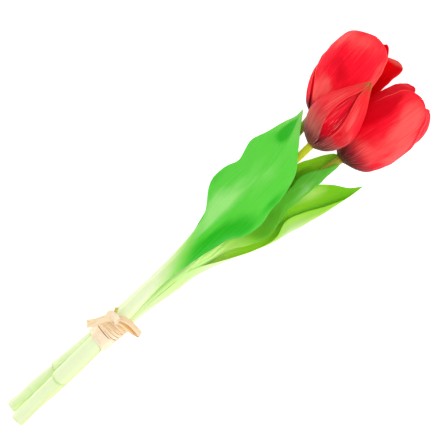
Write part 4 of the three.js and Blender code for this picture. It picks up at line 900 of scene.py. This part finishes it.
core_mat = core_material("receptacle")
GLOSS = {("b", "inner", 0): (0.75, 0.8), ("b", "outer", 1): (0.5, 0.3), ("b", "outer", 0): (0.3, 0.5), ("c", "outer", 0): (0.4, 0.22)}
for k in "abc":
    for layer in ("outer", "inner"):
        for i in range(3):
            mat = petal_material(f"petal_{k}_{layer}_{i + 1}", 10 * (ord(k) - 96) + i + (0 if layer == "outer" else 5), bud=k == "b" and layer == "outer",
                                 mauve=0.8 if (k, layer, i) == ("b", "outer", 0) else 0.3 if (k, layer) == ("b", "outer") else 0.0,
                                 streaks=2.2 if (k, layer) == ("b", "inner") else 1.5 if k == "b" else 1.0, rim=0.3 if k == "b" else 0.0 if (k, layer, i) == ("c", "outer", 2) else 0.6,
                                 foot=0.45 if k == "a" else 1.0 if (k, layer) == ("b", "inner") else 0.8 if k == "c" else 1.0, deepen=0.5 if (k, layer) == ("b", "inner") else 0.0,
                                 rim_from=0.55 if (k, layer, i) == ("c", "outer", 0) else 0.1, rim_in=0.8 if (k, layer, i) == ("a", "outer", 1) else 0.0, line=0.8 if (k, layer, i) == ("c", "outer", 0) else 0.0,
                                 glow=0.3 if (k, layer, i) == ("a", "inner", 2) else 0.11 if (k, layer, i) == ("b", "inner", 0) else 0.06, gloss=GLOSS.get((k, layer, i), (0.0, 1.0))[0], gloss_to=GLOSS.get((k, layer, i), (0.0, 1.0))[1])
            build_petal(k, layer, i, mat)
    ob = turned(f"receptacle_{k}", k, [(0.01, -2.6), (2.7, -2.6), (3.0, -2.1), (2.6, -1.2), (2.0, 0.5), (1.9, 4), (1.2, 6), (0.01, 6.4)], 32, core_mat)
    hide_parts(f"tulip_{k}_core"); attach(ob, f"head_{k}")
    if k != "b":
        ob = turned(f"pistil_{k}", k, [(0.01, 6.8), (2.0, 6.8), (2.4, 9), (2.3, 14), (2.0, 20), (2.1, 22), (3.2, 23.4), (3.5, 24.6), (2.8, 26), (0.01, 26.6)], 36, core_mat)
        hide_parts(f"tulip_{k}_pistil"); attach(ob, f"head_{k}")
metal = metal_material("wire")
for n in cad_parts:
    if n.endswith("_wire"):
        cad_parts[n].data.materials.clear()
        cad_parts[n].data.materials.append(metal)

raffia = [raffia_material("raffia_pale", 3, 0.0), raffia_material("raffia_tan", 14, 0.6, 0.0, (1.0, 0.97, 0.9)), raffia_material("raffia_loop", 25, 0.75, 0.82, (0.93, 0.83, 0.72)), raffia_material("raffia_brown", 36, 0.6, 0.35, srgb(210, 206, 118)), raffia_material("raffia_slit_shade", 47, 0.75, 0.35, srgb(176, 130, 84)), raffia_material("raffia_cord", 58, 0.3, 0.35, (0.93, 0.84, 0.73))]


def tie(ob, *nodes):
    if nodes:
        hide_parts(*nodes)
    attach(ob, "bunch")


tie(raffia_loop("raffia_band_1", -111.4, 4.0, 0.25, 0.5, 0.06, 1, raffia[0], na=25, widen=0.08, ridge_k=0.7), "tie_wrap_lower")
tie(raffia_loop("raffia_band_2", -110.6, 2.9, 0.6, 0.45, 0.03, 2, raffia[0], na=19, widen=0.05, ridge_k=0.7))
# this under wrap is dark brown: painted shade that shows through the slits between the cords
tie(raffia_loop("raffia_band_3", -101.7, 6.7, 0.15, 0.4, -0.03, 4, raffia[4], na=19, ridge_k=0.7), "tie_wrap_upper")
g = np.random.default_rng(3)
for i in range(10):
    tie(raffia_loop(f"raffia_cord_{i + 1}", -106.5 + 1.12 * i, 0.52 + g.uniform(-0.04, 0.05), 0.62 + g.uniform(-0.12, 0.2), 0.6, 0.02 - 0.013 * i + g.uniform(-0.012, 0.012), 20 + i,
                    raffia[1 if i in (3, 7) else 5 if i > 4 else 0], dome=0.42, na=9, ridge_k=0.5))
tie(raffia_strip("raffia_knot_core", [[-95.6, 1.3, 20.6], [-95.2, 0.2, 22.4], [-94.9, -1.6, 23.4], [-94.8, -3.4, 23.5], [-95.1, -5.6, 22.9], [-95.5, -7.3, 21.2]],
                 [0.96, 0.1, 0.1], 4.2, 3.4, raffia[1], 48, na=25, taper=(0.8, 0.8), fray=0.1))
tie(raffia_strip("raffia_knot", [[-95.4, 1.4, 21.2], [-95.1, 0.8, 23.2], [-94.7, -0.8, 24.8], [-94.5, -3.0, 25.7], [-94.9, -5.8, 25.0], [-95.4, -7.4, 23.2]],
                 [0.96, 0.1, 0.1], 5.0, 0.8, raffia[0], 41, cup=-0.45), "tie_knot")
tie(raffia_strip("raffia_tail_left", [[-95.6, -2.6, 24.2], [-99.3, -0.4, 24.3], [-103.9, 1.7, 23.0], [-107.8, 3.6, 21.0], [-111.6, 6.0, 19.6]],
                 [[0.6, 0.78, -0.15], [0.6, 0.78, -0.2], [0.6, 0.76, -0.35], [0.62, 0.72, -0.3], [0.65, 0.72, -0.2]], 5.6, 0.6, raffia[1], 42, taper=(0.9, 1.0), cup=-0.5, fray=0.2), "tie_tail_left")
tie(raffia_strip("raffia_loop_right", [[-94.2, -5.0, 23.8], [-91.4, -7.6, 24.4], [-89.9, -11.6, 24.6], [-89.4, -16.6, 23.8], [-89.7, -21.0, 22.4], [-90.5, -23.2, 21.2], [-91.6, -22.6, 20.8], [-91.9, -18.7, 21.0], [-92.4, -13.8, 21.6], [-93.2, -8.7, 22.4], [-94.4, -5.6, 23.0]],
                 [0.8, 0.13, -0.58], 3.7, 0.5, raffia[2], 43, n=130, taper=(0.9, 1.0), fray=0.1), "tie_loop_right")
tie(raffia_strip("raffia_fold", [[-94.0, -6.2, 25.3], [-92.4, -9.0, 25.8], [-91.1, -13.4, 25.8], [-90.8, -17.8, 24.9], [-91.1, -21.4, 23.5], [-91.6, -22.9, 22.6]],
                 [0.8, 0.13, -0.5], 1.2, 0.6, raffia[0], 45, n=60, na=9, taper=(0.7, 1.0), fray=0.1))
tie(raffia_strip("raffia_strand", [[-95.7, -6.4, 23.6], [-95.1, -10.0, 23.2], [-94.5, -15.0, 22.5], [-93.5, -19.8, 21.8], [-92.2, -23.6, 21.2]],
                 [0.8, 0.13, -0.45], 1.9, 0.6, raffia[1], 46, n=60, na=9, taper=(0.8, 0.8), fray=0.15))
tie(raffia_strip("raffia_stub", [[-92.6, -1.7, 23.0], [-91.2, -0.7, 24.2], [-89.2, 0.3, 24.8]], [-0.5, 0.8, 0.2], 2.2, 0.9, raffia[3], 44, n=30, na=9, fray=0.3), "tie_stub")

# ------------------------------------------------------------------ stage, light, camera
fl = bpy.data.meshes.new("floor")
S = 3.0
fl.from_pydata([(-S, -S, -0.0008), (S, -S, -0.0008), (S, S, -0.0008), (-S, S, -0.0008)], [], [(0, 1, 2, 3)])
floor = bpy.data.objects.new("floor", fl)
bpy.context.scene.collection.objects.link(floor)
fm, fnt, fb = new_material("pale_floor")
fb.inputs["Base Color"].default_value = (0.6, 0.6, 0.6, 1)
fb.inputs["Roughness"].default_value = 0.9
fb.inputs["Emission Color"].default_value = (1, 1, 1, 1)
fb.inputs["Emission Strength"].default_value = 0.86
fl.materials.append(fm)

# low pale screen far round the table, so that a side view has the same ground as the floor
ring = [(2.9 * math.cos(math.radians(7.5 * i)), 2.9 * math.sin(math.radians(7.5 * i))) for i in range(48)]
sc = bpy.data.meshes.new("screen")
sc.from_pydata([(x, y, -0.0009) for x, y in ring] + [(x, y, 0.95) for x, y in ring], [], [((i + 1) % 48, i, 48 + i, 48 + (i + 1) % 48) for i in range(48)])
screen = bpy.data.objects.new("screen", sc)
bpy.context.scene.collection.objects.link(screen)
sm, snt, sb = new_material("pale_screen")
sb.inputs["Base Color"].default_value = (0.3, 0.3, 0.3, 1)
sb.inputs["Roughness"].default_value = 0.9
sb.inputs["Emission Color"].default_value = (1, 1, 1, 1)
sb.inputs["Emission Strength"].default_value = 0.9
sc.materials.append(sm)

world = bpy.data.worlds.new("studio")
bpy.context.scene.world = world
world.use_nodes = True
world.node_tree.nodes["Background"].inputs[0].default_value = (1, 1, 1, 1)
world.node_tree.nodes["Background"].inputs[1].default_value = 0.45


def softbox(name, at, aim, size, power):
    li = bpy.data.lights.new(name, "AREA")
    li.shape = "SQUARE"
    li.size = size
    li.energy = power
    ob = bpy.data.objects.new(name, li)
    bpy.context.scene.collection.objects.link(ob)
    ob.location = at
    ob.rotation_euler = (Vector(aim) - Vector(at)).to_track_quat("-Z", "Y").to_euler()


softbox("key", (0.55, -0.75, 1.0), (0.05, 0, 0), 0.8, 7.6)
softbox("fill", (-0.6, 0.8, 0.9), (0.05, 0, 0), 0.9, 3.8)
softbox("top", (0.0, 0.0, 1.6), (0.0, 0, 0), 1.0, 4.2)

cam = bpy.data.cameras.new("camera")
cam.lens = 150
cam.sensor_width = 36
cam.clip_end = 20
co = bpy.data.objects.new("camera", cam)
bpy.context.scene.collection.objects.link(co)
co.location = (-ORIGIN[0] / 1000, -ORIGIN[1] / 1000, 1.213)
co.rotation_euler = (0, 0, math.radians(-43))
bpy.context.scene.camera = co
bpy.context.scene.view_settings.view_transform = "Standard"
bpy.context.scene.view_settings.look = "None"
